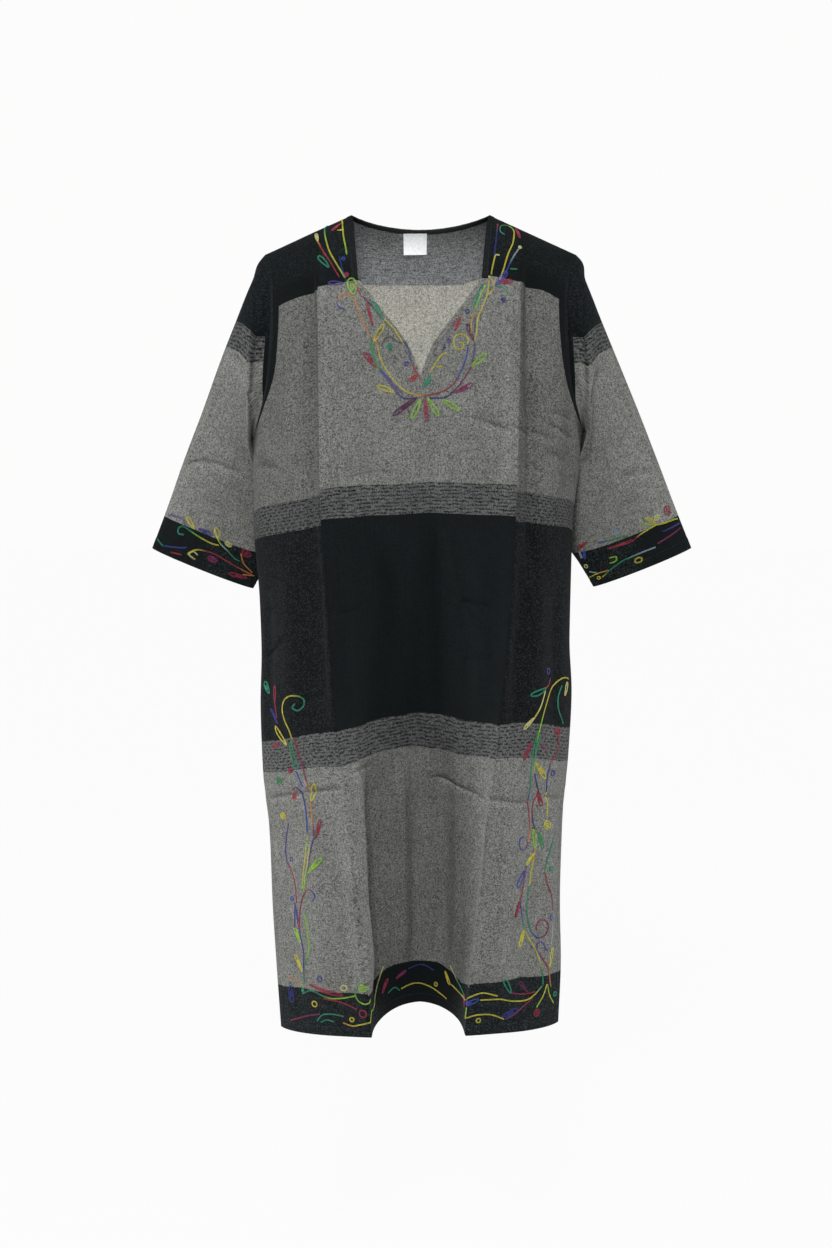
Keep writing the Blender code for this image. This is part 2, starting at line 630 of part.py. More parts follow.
def label_sheet(back, normals):
    """The blank label sewn in under the binding, on the back's inner face."""
    top = BACK_NECK_DROP + BINDING_WIDTH + 2 * SEAM_GAP
    off = back.half_wall + LABEL_GAP + LABEL_WALL / 2
    points = []
    for row in range(LABEL_STEPS + 1):
        for column in range(LABEL_STEPS + 1):
            query = np.array((LABEL_CENTRE + LABEL_WIDTH * (column / LABEL_STEPS - 0.5),
                              top + LABEL_HEIGHT * row / LABEL_STEPS))
            place, normal = on_sheet(back, normals, query)
            points.append(place - normal * off)
    triangles = []
    for row in range(LABEL_STEPS):
        for column in range(LABEL_STEPS):
            start = row * (LABEL_STEPS + 1) + column
            below = start + LABEL_STEPS + 1
            triangles.append((start, below + 1, start + 1))
            triangles.append((start, below, below + 1))
    return Sheet("label", points, points, triangles, LABEL_WALL / 2)


# ================================================================================================
# Walls
# ================================================================================================
def shared_normals(sheets):
    """Normals of the joined mid-surface, so that the walls of two pieces end flush at a seam."""
    sums = {}
    for sheet in sheets:
        for triangle in sheet.triangles:
            a, b, c = (sheet.points[index] for index in triangle)
            normal = np.cross(b - a, c - a)
            for index in triangle:
                key = tuple(np.round(sheet.points[index], 6))
                sums[key] = sums.get(key, 0) + normal
    return sums


def wall_mesh(sheet, normals):
    """Close a mid-surface into a wall of even thickness."""
    steps = []
    for point in sheet.points:
        normal = normals[tuple(np.round(point, 6))]
        steps.append(normal / np.linalg.norm(normal) * sheet.half_wall)
    steps = np.array(steps)
    count = len(sheet.points)
    vertices = np.vstack((sheet.pulled + steps, sheet.pulled - steps))
    faces = [tuple(triangle) for triangle in sheet.triangles]
    faces += [tuple(count + index for index in triangle[::-1]) for triangle in sheet.triangles]
    directed = set()
    for first, second, third in sheet.triangles:
        directed.update(((first, second), (second, third), (third, first)))
    for start, end in sorted(directed):
        if (end, start) not in directed:
            faces.append((end, start, count + start))
            faces.append((end, count + start, count + end))
    mesh = bpy.data.meshes.new(sheet.name)
    mesh.from_pydata([tuple(vertex) for vertex in vertices], [], faces)
    mesh.validate()
    mesh.update()
    return mesh


def cloth_material(name, colour, roughness):
    """A plain cloth finish."""
    material = bpy.data.materials.new(name)
    material.use_nodes = True
    shader = material.node_tree.nodes["Principled BSDF"]
    shader.inputs["Base Color"].default_value = (*colour, 1)
    shader.inputs["Roughness"].default_value = roughness
    shader.inputs["Metallic"].default_value = 0.0
    return material


def add_piece(sheet, normals, material):
    """Make the object of one cut piece."""
    mesh = wall_mesh(sheet, normals)
    mesh.materials.append(material)
    mesh.shade_smooth()
    piece = bpy.data.objects.new(sheet.name, mesh)
    bpy.context.scene.collection.objects.link(piece)
    return piece


def main():
    for leftover in list(bpy.data.objects):
        bpy.data.objects.remove(leftover, do_unlink=True)
    sewn = [body_sheet("front", FRONT), body_sheet("back", BACK),
            sleeve_sheet("sleeve_left", LEFT), sleeve_sheet("sleeve_right", RIGHT),
            binding_sheet()]
    finishes = {
        "front": cloth_material("banded_cotton_front", (0.15, 0.15, 0.145), 0.9),
        "back": cloth_material("banded_cotton_back", (0.14, 0.14, 0.135), 0.9),
        "sleeve_left": cloth_material("banded_cotton_sleeve_left", (0.17, 0.17, 0.16), 0.9),
        "sleeve_right": cloth_material("banded_cotton_sleeve_right", (0.17, 0.17, 0.16), 0.9),
        "neck_binding": cloth_material("black_binding", (0.012, 0.013, 0.014), 0.85),
        "label": cloth_material("label_white", (0.85, 0.85, 0.85), 0.7),
    }
    normals = shared_normals(sewn)
    for sheet in sewn:
        add_piece(sheet, normals, finishes[sheet.name])
    back = next(sheet for sheet in sewn if sheet.name == "back")
    label = label_sheet(back, normals)
    add_piece(label, shared_normals([label]), finishes["label"])


SECTIONS = {hand: sleeve_sections(hand) for hand in (LEFT, RIGHT)}
main()
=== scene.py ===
"""Looks of the kurta tunic: fine cloth, banded weaves, sewing and chain-stitch embroidery.

Frame: X across the garment, Y from front to back (the front faces -Y), Z up, metres. The origin
is midway between the two points where the neck meets the shoulder seams.

Every sheet of cloth starts flat, in the cloth's own measures: "across" is the distance from the
centre line and "down" the distance below the neck-shoulder point. A drape carries flat points
to the filled-out garment, a relief adds creases and turned edges, and the sewing and the
embroidery lie on the surface that comes out. Tables of listed details are in millimetres.
"""
from __future__ import annotations

import logging
import math
from dataclasses import dataclass, field, replace
from enum import Enum, IntEnum
from typing import Iterable, NamedTuple, Sequence

import bpy
import numpy as np
from mathutils import Euler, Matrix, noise
from mathutils.geometry import delaunay_2d_cdt

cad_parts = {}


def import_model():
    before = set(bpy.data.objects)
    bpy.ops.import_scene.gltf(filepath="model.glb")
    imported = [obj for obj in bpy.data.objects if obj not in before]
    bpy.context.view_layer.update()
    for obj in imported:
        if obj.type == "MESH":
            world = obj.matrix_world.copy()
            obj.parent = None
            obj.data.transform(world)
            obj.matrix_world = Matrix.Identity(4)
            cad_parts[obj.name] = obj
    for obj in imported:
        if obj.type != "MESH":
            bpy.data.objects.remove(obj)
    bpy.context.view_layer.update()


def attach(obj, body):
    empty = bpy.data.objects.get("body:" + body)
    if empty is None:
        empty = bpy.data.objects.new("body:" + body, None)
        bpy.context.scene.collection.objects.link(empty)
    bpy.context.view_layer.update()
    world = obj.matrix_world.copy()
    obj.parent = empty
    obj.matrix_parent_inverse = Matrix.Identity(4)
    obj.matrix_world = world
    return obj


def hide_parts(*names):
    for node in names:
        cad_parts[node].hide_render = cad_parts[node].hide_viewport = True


LOG = logging.getLogger("kurta_tunic")
BODY = "root"
CLOTH_MAP = "cloth"          # UV map that holds the flat cloth's coordinates, in metres
THREAD_COLOUR = "thread_colour"        # attribute: the dye of each stitch
PAST_STRIP = "past_armhole_strip"      # attribute: metres past the dark strip at the armhole, partly black cloth, partly painted shade of the recess
MM = 0.001
NEARLY_ZERO = 1e-12          # shortest length that is divided by
NO_SQUARE = 1e-18            # smallest squared length that is divided by
ON_CENTRE = 1e-9             # how near the centre line a point counts as on it

# ---- cloth, in metres --------------------------------------------------------------------------
CLOTH_WALL = 0.0010          # thickness of the fine shells
BINDING_WALL = 0.0022        # thickness of the folded tape
LABEL_WALL = 0.0005
SEAM_GAP = 0.00012           # between two shells at a seam

# ---- the cut of the body, measured on the flat cloth -------------------------------------------
HEM_DOWN = 1.137
CREASE_ACROSS = 0.130        # the ironed edge of the middle panel
NECK_HALF = 0.0905
SHOULDER_ACROSS = 0.217
SHOULDER_DROP = 0.046
UNDERARM_DOWN = 0.300
SLIT_DOWN = 0.785            # top of the side slits
BINDING_WIDTH = 0.008
BACK_NECK_DROP = 0.047
V_CORNER = (0.081, 0.127)    # where the bound neck side meets the V
STRIP_WIDTH = 0.0105         # dark strip along the armhole seam: partly black cloth, partly painted shade of the recess
STRIP_TAPER = (0.215, 0.300) # levels between which it narrows to nothing

# ---- turned edges ------------------------------------------------------------------------------
HEM_TURN = 0.0130            # width of the turned hem
SLIT_TURN = 0.0100           # width of the turned slit edges
V_TURN = 0.0065              # width of the turned V edge
CUFF_TURN = 0.0120           # width of the turned cuff
TURN_STEP = 0.0004           # how far a turned edge stands up
TURN_RISE = 0.0007           # half the width over which it rises
SLIT_START = (-0.002, 0.006) # levels round the slit's top over which its turned edge begins
SLIT_SEWN_FROM = 0.004       # level below the slit's top at which its stitches begin
BINDING_STITCH = 0.80        # share of the binding's width at which it is stitched
BINDING_GROOVE = 0.70        # share of its thickness left under the stitches

# ---- how the body hangs ------------------------------------------------------------------------
ROLL_DOWN = 0.190            # level down to which the cloth rolls over the shoulders
ROLL_LIFT = 0.044            # how much higher than its level the cloth hangs below the roll
ROLL_SHARE = 0.89            # height of the rolled quarter, as a share of the fall beside it
LEAST_BEND = -1e-4           # keeps the roll's spacing clear of a division by zero
SHOULDER_X = 0.206
SHOULDER_Z = -0.051
DROOP_POWER = (4.0, 1.2)     # how late the droop sets in across the cloth, at the top and the hem
SLIT_GAP = (0.0013, 0.0120)  # half the slit's opening, at its top and at the hem
SIDE_BULGE_IN = 0.15         # how far in from the side a side panel bends, as a share
SIDE_BULGE_OUT = 0.55        # how far out from the seam it bends, as a share
FOLD_EVENING = 0.9           # how far the weave's spacing is evened along the middle panel's bow
JUST_BELOW = 1e-6

# ---- how the sleeves hang ----------------------------------------------------------------------
SLEEVE_AXIS = (0.38, 0.0, -0.92)       # the way down a right sleeve
SLEEVE_LENGTH = 0.4225       # shoulder point to cuff along the outer edge
SLEEVE_FALL = 0.35           # mean length of a sleeve from armhole to cuff
LEAD_SHARE = 0.020           # share of the way at the first ring past the armhole
LEAD_TOP = 0.008             # how far that ring has left the armhole at the top,
LEAD_UNDERARM = 0.004        # at the underarm,
LEAD_FRONT = 0.016           # in front
LEAD_BACK = 0.010            # and behind
UNDERARM_OUTWARD = 0.45      # outward part of the way in which the underarm leaves
ARMHOLE_PROBE = 0.002        # step behind the armhole that shows the way out of it

# ---- the label inside the back neck ------------------------------------------------------------
LABEL_CENTRE = -0.0074
LABEL_WIDTH = 0.033
LABEL_HEIGHT = 0.034

# ---- relief ------------------------------------------------------------------------------------
CREASE_RISE = (-0.04, 0.22)  # shares of its run over which a crease rises
CREASE_FALL = (0.78, 1.04)   # and over which it dies away
UNDULATION = 0.0011          # height of the slow unevenness of the cloth
UNDULATION_SIZE = 0.055
UNDULATION_RATE = (1.0, 1.0, 0.45)     # it changes more slowly downwards
BODY_SEED = 3.0              # shifts that give each sheet its own unevenness
SLEEVE_SEED = 7.0
SEAM_CALM = (0.0005, 0.014)  # distances from a seam over which the relief grows
ARMHOLE_CALM = 0.022         # share of a sleeve's way over which its relief grows
SLEEVE_CREASE_SCALE = np.array((0.0038, 0.0036))    # metres for a hundredth of a turn, of the way

# ---- mesh spacing ------------------------------------------------------------------------------
FRONT_STEP = 0.0048
BACK_STEP = 0.0066
SLEEVE_STEP = 0.0036
SEAM_STEP = 0.0055           # along the side seams
CREASE_STEP = 0.0036         # spacing of the mesh along sharp creases
CREASE_BESIDE = 0.8          # its rows beside a sharp crease, in widths of the crease
FEATURE_OFFSET = 0.0009      # rows of mesh either side of a turned edge's stitching
ARMHOLE_STEPS = 44
CURVE_STEPS = 24
COARSE_SEAM_STEPS = (12, 6, 12)        # armhole, neck side and back neck, to measure from
COARSE_V_STEPS = 16
NECK_SIDE_STEPS = 24
NECK_BACK_STEPS = 48
V_STEPS = 44
SHOULDER_STEPS = 24
COLUMN_LEVEL = 0.600         # level at which the columns of a side panel have their step
SLIT_ROW = 0.330             # length of the row of mesh along a slit's stitching
V_ROW_TOP = 0.131            # level from which a row of mesh follows the V's stitching
GRID_TOP = 0.004             # level of the first row of mesh
SAME_POINT = 1e-7            # how near two points of a cut count as one
PROBE = 0.0015               # steps used to read the surface's direction
SHARE_PROBE = 0.004
LEAST_MITRE = 0.35           # keeps the corners of an inset cut from running out

# ---- weave, in millimetres of cloth unless it says otherwise -----------------------------------
RAMP_LENGTH = 1.2            # metres down the cloth at the band ramp's end
PANEL_EDGE = (129.0, 131.0)  # either side of the ironed edge of the middle panel
BLACK_FROM = (430.0, 432.0)  # the black of the waist sets in, and the painted shade of the chest ends
SHADE_TO = (960.0, 980.0)    # the painted shade of the black beside the middle panel ends
YOKE_HIGHLIGHT_TO = (100.0, 112.0)     # the painted highlight on the yoke's black ends
LOW_GLINT = (60.0, 90.0)     # distance from the centre at which the lowest band begins to glint
FOLD_REACH = 158.0           # how far across the painted shade beside the ironed edges reaches
PAINTED_FOLD_SHADE = 1.6             # how much stronger that painted shade is at the edge itself
PAINTED_SHADE_BLACK = 0.50          # painted shade: how much darker the black is drawn beside the middle panel
YARN_PITCH = 0.9
YARN_WIDTH = 0.95            # size across a run of one tone, and along it
YARN_RUN = 1.7
DASH_ROW = 4.9               # between rows of dashes on the middle panel, and beside it
SIDE_DASH_ROW = 4.7
SHORT_DASH = 10.5            # from dash to dash beside the middle panel
DASH_STAGGER = 0.46          # how far each row is shifted, in dashes
LABEL_RIB = 0.8              # from rib to rib of the label's satin
BAND_KNOTS = (-285, -220, -195, -160, -131, -129, -85, -57, -28, 0, 28, 57, 85, 129, 131, 165,
              200, 240)      # places across of the shifts below
BAND_SHIFTS = {
    # metres down: how much lower than level the weave lies at every knot
    0.127: (16, 16, 16, 11, 8, 5, -2, 0, 0, 0, 0, 0, -9, -1, -2, 2, 10, 12),
    0.385: (2, 12, 15, 16, 12, 4, 4, 4, 3, 2, 1, 1, 1, -1, 8, 10, 10, 7),
    0.431: (-2, 8, 11, 12, 9, 1, 3, 2, 1, 0, 0, 0, 0, -2, 5, 6, 5, 0),
    0.706: (0, 7, 6, 4, 3, 3, 8, 5, -1, -3, 0, 3, 3, -2, -3, -6, -4, 0),
    0.751: (-4, 4, 3, 2, 3, 3, 6, 4, 0, 0, 5, 8, 6, -3, -4, -5, -3, 1),
    1.076: (-6, -7, -5, -4, -4, -1, 3, -6, -6, -4, -5, 0, 6, -9, -14, -17, -19, -19),
}

# ---- thread, in millimetres --------------------------------------------------------------------
THREAD_WIDTH = 2.2           # across a line of chain stitch
STRAND_SIDES = 4
DYE_UNEVENNESS = 0.10        # spread of the tone from stitch to stitch
RING_POINTS = 20
RING_START = 0.3             # angle at which a ring's thread begins
RING_FILLING = (1.0, 0.4)    # sizes of the rounds that fill a disc
LEAF_POINTS = 22
LEAF_BELLY = (0.55, 0.6)     # width of a leaf at its foot, and how much it grows to the tip
LEAF_FILLING = (1.0, 0.36)   # sizes of the rounds that fill a leaf
CUFF_ROUND = 300.0           # round a cuff

# ---- studio ------------------------------------------------------------------------------------
FLOOR_LEVEL = -1.55
FLOOR_REACH = 9.0            # half the floor's width
FLOOR_GLOW = 0.955           # strength at which the paper shows
WORLD_TONE = (0.975, 0.975, 0.972, 1.0)
WORLD_LIGHT = 0.22           # strength of the surroundings as light
CAMERA_PLACE = (-0.006, -2.350, -0.150)
CAMERA_PITCH = 9.6           # degrees below level
CAMERA_LENS = 50.0


class Face(IntEnum):
    """Which way a body panel looks."""

    FRONT = -1
    BACK = 1


class Hand(IntEnum):
    """Side of the garment, as the camera sees it."""

    LEFT = -1
    RIGHT = 1


class BodyRow(NamedTuple):
    """One level of the front or the back, at a distance down the cloth."""

    down: float
    crease_left: float
    crease_right: float
    ridge_depth: float
    dip: float
    sweep: float


BODY_ROWS = {
    Face.FRONT: (
        BodyRow(0.170, 0.132, 0.128, 0.090, 0.002, 25),
        BodyRow(0.330, 0.132, 0.127, 0.090, 0.008, 30),
        BodyRow(0.420, 0.131, 0.125, 0.090, 0.018, 35),
        BodyRow(0.550, 0.123, 0.119, 0.094, 0.036, 45),
        BodyRow(0.700, 0.113, 0.106, 0.100, 0.052, 56),
        BodyRow(0.830, 0.096, 0.090, 0.100, 0.071, 70),
        BodyRow(0.950, 0.086, 0.079, 0.100, 0.083, 79),
        BodyRow(1.050, 0.075, 0.068, 0.100, 0.092, 84),
        BodyRow(1.140, 0.067, 0.062, 0.100, 0.098, 87),
    ),
    Face.BACK: (
        BodyRow(0.170, 0.130, 0.127, 0.085, 0.001, 25),
        BodyRow(0.420, 0.128, 0.122, 0.085, 0.010, 32),
        BodyRow(0.700, 0.118, 0.110, 0.090, 0.034, 45),
        BodyRow(0.950, 0.102, 0.096, 0.096, 0.052, 60),
        BodyRow(1.140, 0.092, 0.088, 0.098, 0.060, 70),
    ),
}


class SideRow(NamedTuple):
    """The side seams at a distance down the cloth."""

    down: float
    side_left: float
    side_right: float
    half_cut: float
    droop_left: float
    droop_right: float


SIDE_ROWS = (
    SideRow(0.170, 0.2260, 0.2210, 0.260, 0.040, 0.031),
    SideRow(0.300, 0.2260, 0.2190, 0.260, 0.041, 0.031),
    SideRow(0.420, 0.2260, 0.2070, 0.262, 0.043, 0.032),
    SideRow(0.510, 0.2200, 0.2055, 0.264, 0.045, 0.031),
    SideRow(0.580, 0.2185, 0.2050, 0.266, 0.047, 0.030),
    SideRow(0.660, 0.2210, 0.2090, 0.267, 0.048, 0.029),
    SideRow(0.750, 0.2190, 0.2055, 0.270, 0.048, 0.029),
    SideRow(0.830, 0.2110, 0.1990, 0.273, 0.045, 0.029),
    SideRow(0.950, 0.2070, 0.1965, 0.277, 0.040, 0.028),
    SideRow(1.050, 0.2020, 0.1985, 0.281, 0.036, 0.027),
    SideRow(1.140, 0.1975, 0.1960, 0.285, 0.033, 0.026),
)

V_EDGE = ((0.081, 0.127), (0.050, 0.168), (0.019, 0.208), (0.0045, 0.238), (0.0, 0.252))
ARMHOLES = {
    Face.FRONT: ((0.217, 0.046), (0.204, 0.090), (0.200, 0.135), (0.201, 0.190),
                 (0.211, 0.240), (0.232, 0.280), (0.260, 0.300)),
    Face.BACK: ((0.217, 0.046), (0.207, 0.090), (0.204, 0.135), (0.206, 0.190),
                (0.216, 0.240), (0.235, 0.280), (0.260, 0.300)),
}


class SleeveRow(NamedTuple):
    """One section of a sleeve: its outer and inner edge and its depth, at a share of its way."""

    share: float
    outer_x: float
    outer_y: float
    outer_z: float
    inner_x: float
    inner_y: float
    inner_z: float
    depth: float


SLEEVE_ROWS = {
    Hand.LEFT: (
        SleeveRow(0.120, 0.2236, 0.000, -0.085, 0.2300, 0.010, -0.312, 0.047),
        SleeveRow(0.286, 0.2540, 0.002, -0.158, 0.2210, 0.038, -0.352, 0.041),
        SleeveRow(0.592, 0.3045, 0.014, -0.281, 0.1940, 0.064, -0.418, 0.030),
        SleeveRow(0.870, 0.3485, 0.020, -0.394, 0.2180, 0.046, -0.477, 0.025),
        SleeveRow(1.000, 0.3685, 0.022, -0.445, 0.2330, 0.038, -0.503, 0.020),
    ),
    Hand.RIGHT: (
        SleeveRow(0.120, 0.2190, 0.000, -0.085, 0.2270, 0.008, -0.314, 0.047),
        SleeveRow(0.286, 0.2510, 0.002, -0.158, 0.2090, 0.034, -0.352, 0.042),
        SleeveRow(0.592, 0.3045, 0.012, -0.281, 0.1890, 0.056, -0.416, 0.032),
        SleeveRow(0.870, 0.3510, 0.020, -0.393, 0.2240, 0.046, -0.472, 0.025),
        SleeveRow(1.000, 0.3725, 0.022, -0.4445, 0.2415, 0.038, -0.5005, 0.020),
    ),
}


# ==== Curves and tables ====
def smooth(rows: Sequence[NamedTuple], column: str, where: np.ndarray) -> np.ndarray:
    """Read one column of a table at any distance, along a curve that never overshoots.

    Args:
        rows: The table; its first column holds the distances.
        column: Name of the column to read.
        where: Distances to read it at.

    Returns:
        The values, in the shape of `where`.
    """
    knots = np.array([row[0] for row in rows])
    values = np.array([getattr(row, column) for row in rows], dtype=float)
    steps = np.diff(knots)
    slopes = np.diff(values) / steps
    tangents = np.zeros(len(knots))
    same_way = slopes[:-1] * slopes[1:] > 0
    before, after = 2 * steps[1:] + steps[:-1], steps[1:] + 2 * steps[:-1]
    safe_first = np.where(same_way, slopes[:-1], 1.0)
    safe_second = np.where(same_way, slopes[1:], 1.0)
    inner = (before + after) / (before / safe_first + after / safe_second)
    tangents[1:-1] = np.where(same_way, inner, 0.0)
    tangents[0], tangents[-1] = slopes[0], slopes[-1]
    where = np.clip(where, knots[0], knots[-1])
    index = np.clip(np.searchsorted(knots, where, side="right") - 1, 0, len(steps) - 1)
    step = steps[index]
    u = (where - knots[index]) / step
    return ((1 + 2 * u) * (1 - u) ** 2 * values[index] + u * (1 - u) ** 2 * step * tangents[index]
            + u * u * (3 - 2 * u) * values[index + 1]
            + u * u * (u - 1) * step * tangents[index + 1])


def curve_through(points: Sequence[Sequence[float]], steps: int = CURVE_STEPS) -> np.ndarray:
    """Fine points along a smooth curve through a few given ones.

    Args:
        points: The points that the curve passes through.
        steps: Fine points between two of them.

    Returns:
        The fine points, both ends included.
    """
    points = np.array(points, dtype=float)
    padded = np.vstack((2 * points[0] - points[1], points, 2 * points[-1] - points[-2]))
    fine = []
    for index in range(len(points) - 1):
        before, start, end, after = padded[index:index + 4]
        for u in np.linspace(0, 1, steps, endpoint=False):
            fine.append(0.5 * (2 * start + (end - before) * u
                               + (2 * before - 5 * start + 4 * end - after) * u * u
                               + (3 * start - before - 3 * end + after) * u ** 3))
    return np.array(fine + [points[-1]])


def even_steps(line: np.ndarray, count: int) -> np.ndarray:
    """The points that divide a line into `count` even steps.

    Args:
        line: Points along the line, in any number of dimensions.
        count: How many steps to make.

    Returns:
        count + 1 points.
    """
    lengths = np.concatenate(([0], np.cumsum(np.linalg.norm(np.diff(line, axis=0), axis=1))))
    even = np.linspace(0, lengths[-1], count + 1)
    return np.column_stack([np.interp(even, lengths, line[:, axis])
                            for axis in range(line.shape[1])])


def unit_rows(vectors: np.ndarray) -> np.ndarray:
    """Each row of an array, made one unit long."""
    return vectors / np.maximum(np.linalg.norm(vectors, axis=1), NEARLY_ZERO)[:, None]


def smooth_step(low: float, high: float, where: np.ndarray) -> np.ndarray:
    """0 below low, 1 above high, and a soft rise between them."""
    share = np.clip((where - low) / (high - low), 0, 1)
    return share * share * (3 - 2 * share)


# ==== Drapes ====
def by_hand(rows: Sequence[NamedTuple], column: str, hand: np.ndarray,
            where: np.ndarray | float) -> np.ndarray:
    """Read a column that a table holds twice, for the left and for the right.

    Args:
        rows: The table.
        column: Name of the column, without its side.
        hand: Side of each point, below 0 on the left.
        where: Distances to read it at.

    Returns:
        One value for each point.
    """
    return np.where(hand < 0, smooth(rows, f"{column}_left", where),
                    smooth(rows, f"{column}_right", where))


def shoulder_line(width: np.ndarray) -> tuple[np.ndarray, np.ndarray, np.ndarray]:
    """Across-distance -> (x, z, down) of the shoulder seam, level inside the neck.

    Args:
        width: Distance from the centre line.

    Returns:
        Its x, its z and its level down the cloth.
    """
    share = np.clip((width - NECK_HALF) / (SHOULDER_ACROSS - NECK_HALF), 0, None)
    x = np.where(width < NECK_HALF, width, NECK_HALF + share * (SHOULDER_X - NECK_HALF))
    return x, share * SHOULDER_Z, share * SHOULDER_DROP


def slit_opening(down: np.ndarray) -> np.ndarray:
    """Half the distance between the two edges of a side slit.

    Args:
        down: Levels down the cloth.

    Returns:
        Half the gap, 0 above the slit.
    """
    share = (down - SLIT_DOWN) / (HEM_DOWN - SLIT_DOWN)
    opened = SLIT_GAP[0] + (SLIT_GAP[1] - SLIT_GAP[0]) * share
    return np.where(share > JUST_BELOW, opened, 0.0)


def droop(width: np.ndarray, hand: np.ndarray, down: np.ndarray | float) -> np.ndarray:
    """How far a level line of the cloth has sunk at this distance from the centre.

    Args:
        width: Distance from the centre line.
        hand: Side of each point.
        down: Level down the cloth.

    Returns:
        Metres below the level line.
    """
    share = np.clip(np.asarray(down) / HEM_DOWN, 0, 1)
    power = DROOP_POWER[0] + (DROOP_POWER[1] - DROOP_POWER[0]) * share
    most = by_hand(SIDE_ROWS, "droop", hand, down)
    return most * (width / smooth(SIDE_ROWS, "half_cut", down)) ** power


@dataclass(frozen=True)
class BodyDrape:
    """Carries flat points of the front or the back to the filled-out garment."""

    face: Face

    def section(self, width: np.ndarray, hand: np.ndarray,
                down: np.ndarray) -> tuple[np.ndarray, np.ndarray]:
        """One level of the body: centre fold, pressed crease, then the side panel.

        Args:
            width: Distance from the centre line on the flat cloth.
            hand: Side of each point.
            down: Distance down the cloth.

        Returns:
            Distance from the middle plane and depth, both unsigned.
        """
        rows = BODY_ROWS[self.face]
        crease = by_hand(rows, "crease", hand, down)
        side = by_hand(SIDE_ROWS, "side", hand, down)
        ridge, dip = smooth(rows, "ridge_depth", down), smooth(rows, "dip", down)
        sweep = np.radians(smooth(rows, "sweep", down))
        reach, fall = crease / np.sin(sweep), dip / (1 - np.cos(sweep))
        share = np.clip(width / CREASE_ACROSS, 0, 1)
        evening = FOLD_EVENING * (fall - reach) / (fall + reach)
        angle = (share + evening * sweep / math.pi * share * (1 - share)) * sweep
        centre_x = reach * np.sin(angle)
        centre_depth = ridge - dip + fall * (1 - np.cos(angle))
        seam_depth = slit_opening(down)
        bend_x = side - SIDE_BULGE_IN * (side - crease)
        bend_depth = seam_depth + SIDE_BULGE_OUT * (ridge - seam_depth)
        half_cut = smooth(SIDE_ROWS, "half_cut", down)
        share = np.clip((width - CREASE_ACROSS) / (half_cut - CREASE_ACROSS), 0, 1)
        first = np.hypot(bend_x - crease, bend_depth - ridge)
        second = np.hypot(side - bend_x, seam_depth - bend_depth)
        u = (first - np.sqrt(first ** 2 - (first ** 2 - second ** 2) * share)) / (first - second)
        side_x = (1 - u) ** 2 * crease + 2 * u * (1 - u) * bend_x + u * u * side
        side_depth = (1 - u) ** 2 * ridge + 2 * u * (1 - u) * bend_depth + u * u * seam_depth
        inside = width <= CREASE_ACROSS
        return np.where(inside, centre_x, side_x), np.where(inside, centre_depth, side_depth)

    def place(self, flat: np.ndarray) -> np.ndarray:
        """Flat (across, down) points -> their places in the frame.

        Args:
            flat: Flat points, one a row.

        Returns:
            Points in the frame, one a row.
        """
        across, down = flat[:, 0], flat[:, 1]
        width, hand = np.abs(across), np.where(across < 0, -1, 1)
        section_x, section_depth = self.section(width, hand, down)
        line_x, line_z, line_down = shoulder_line(width)
        height_below = line_z + (ROLL_DOWN - ROLL_LIFT) + droop(width, hand, ROLL_DOWN)
        turn = ROLL_SHARE * height_below
        total = section_depth + turn
        squeeze = (3 * section_depth + turn) * (section_depth + 3 * turn)
        quarter = math.pi / 4 * (3 * total - np.sqrt(squeeze))
        used = (down - line_down) / (ROLL_DOWN - line_down) * (quarter + height_below - turn)
        bend = np.minimum(section_depth * math.pi / (2 * quarter) - 1, LEAST_BEND)
        share = np.clip(used / quarter, 0, 1)
        angle = ((1 + bend) - np.sqrt((1 + bend) ** 2 - 4 * bend * share)) / (2 * bend)
        angle = np.clip(angle, 0, 1) * math.pi / 2
        turned = used < quarter
        fall = np.where(turned, turn * (1 - np.cos(angle)), turn + used - quarter)
        over = np.where(turned, np.sin(angle), 1.0)
        upper = down < ROLL_DOWN
        z_low = -(down - ROLL_LIFT) - droop(width, hand, down)
        over = np.where(upper, over, 1.0)
        x = line_x + (section_x - line_x) * over
        z = np.where(upper, line_z - fall, z_low)
        return np.column_stack((hand * x, self.face * section_depth * over, z))


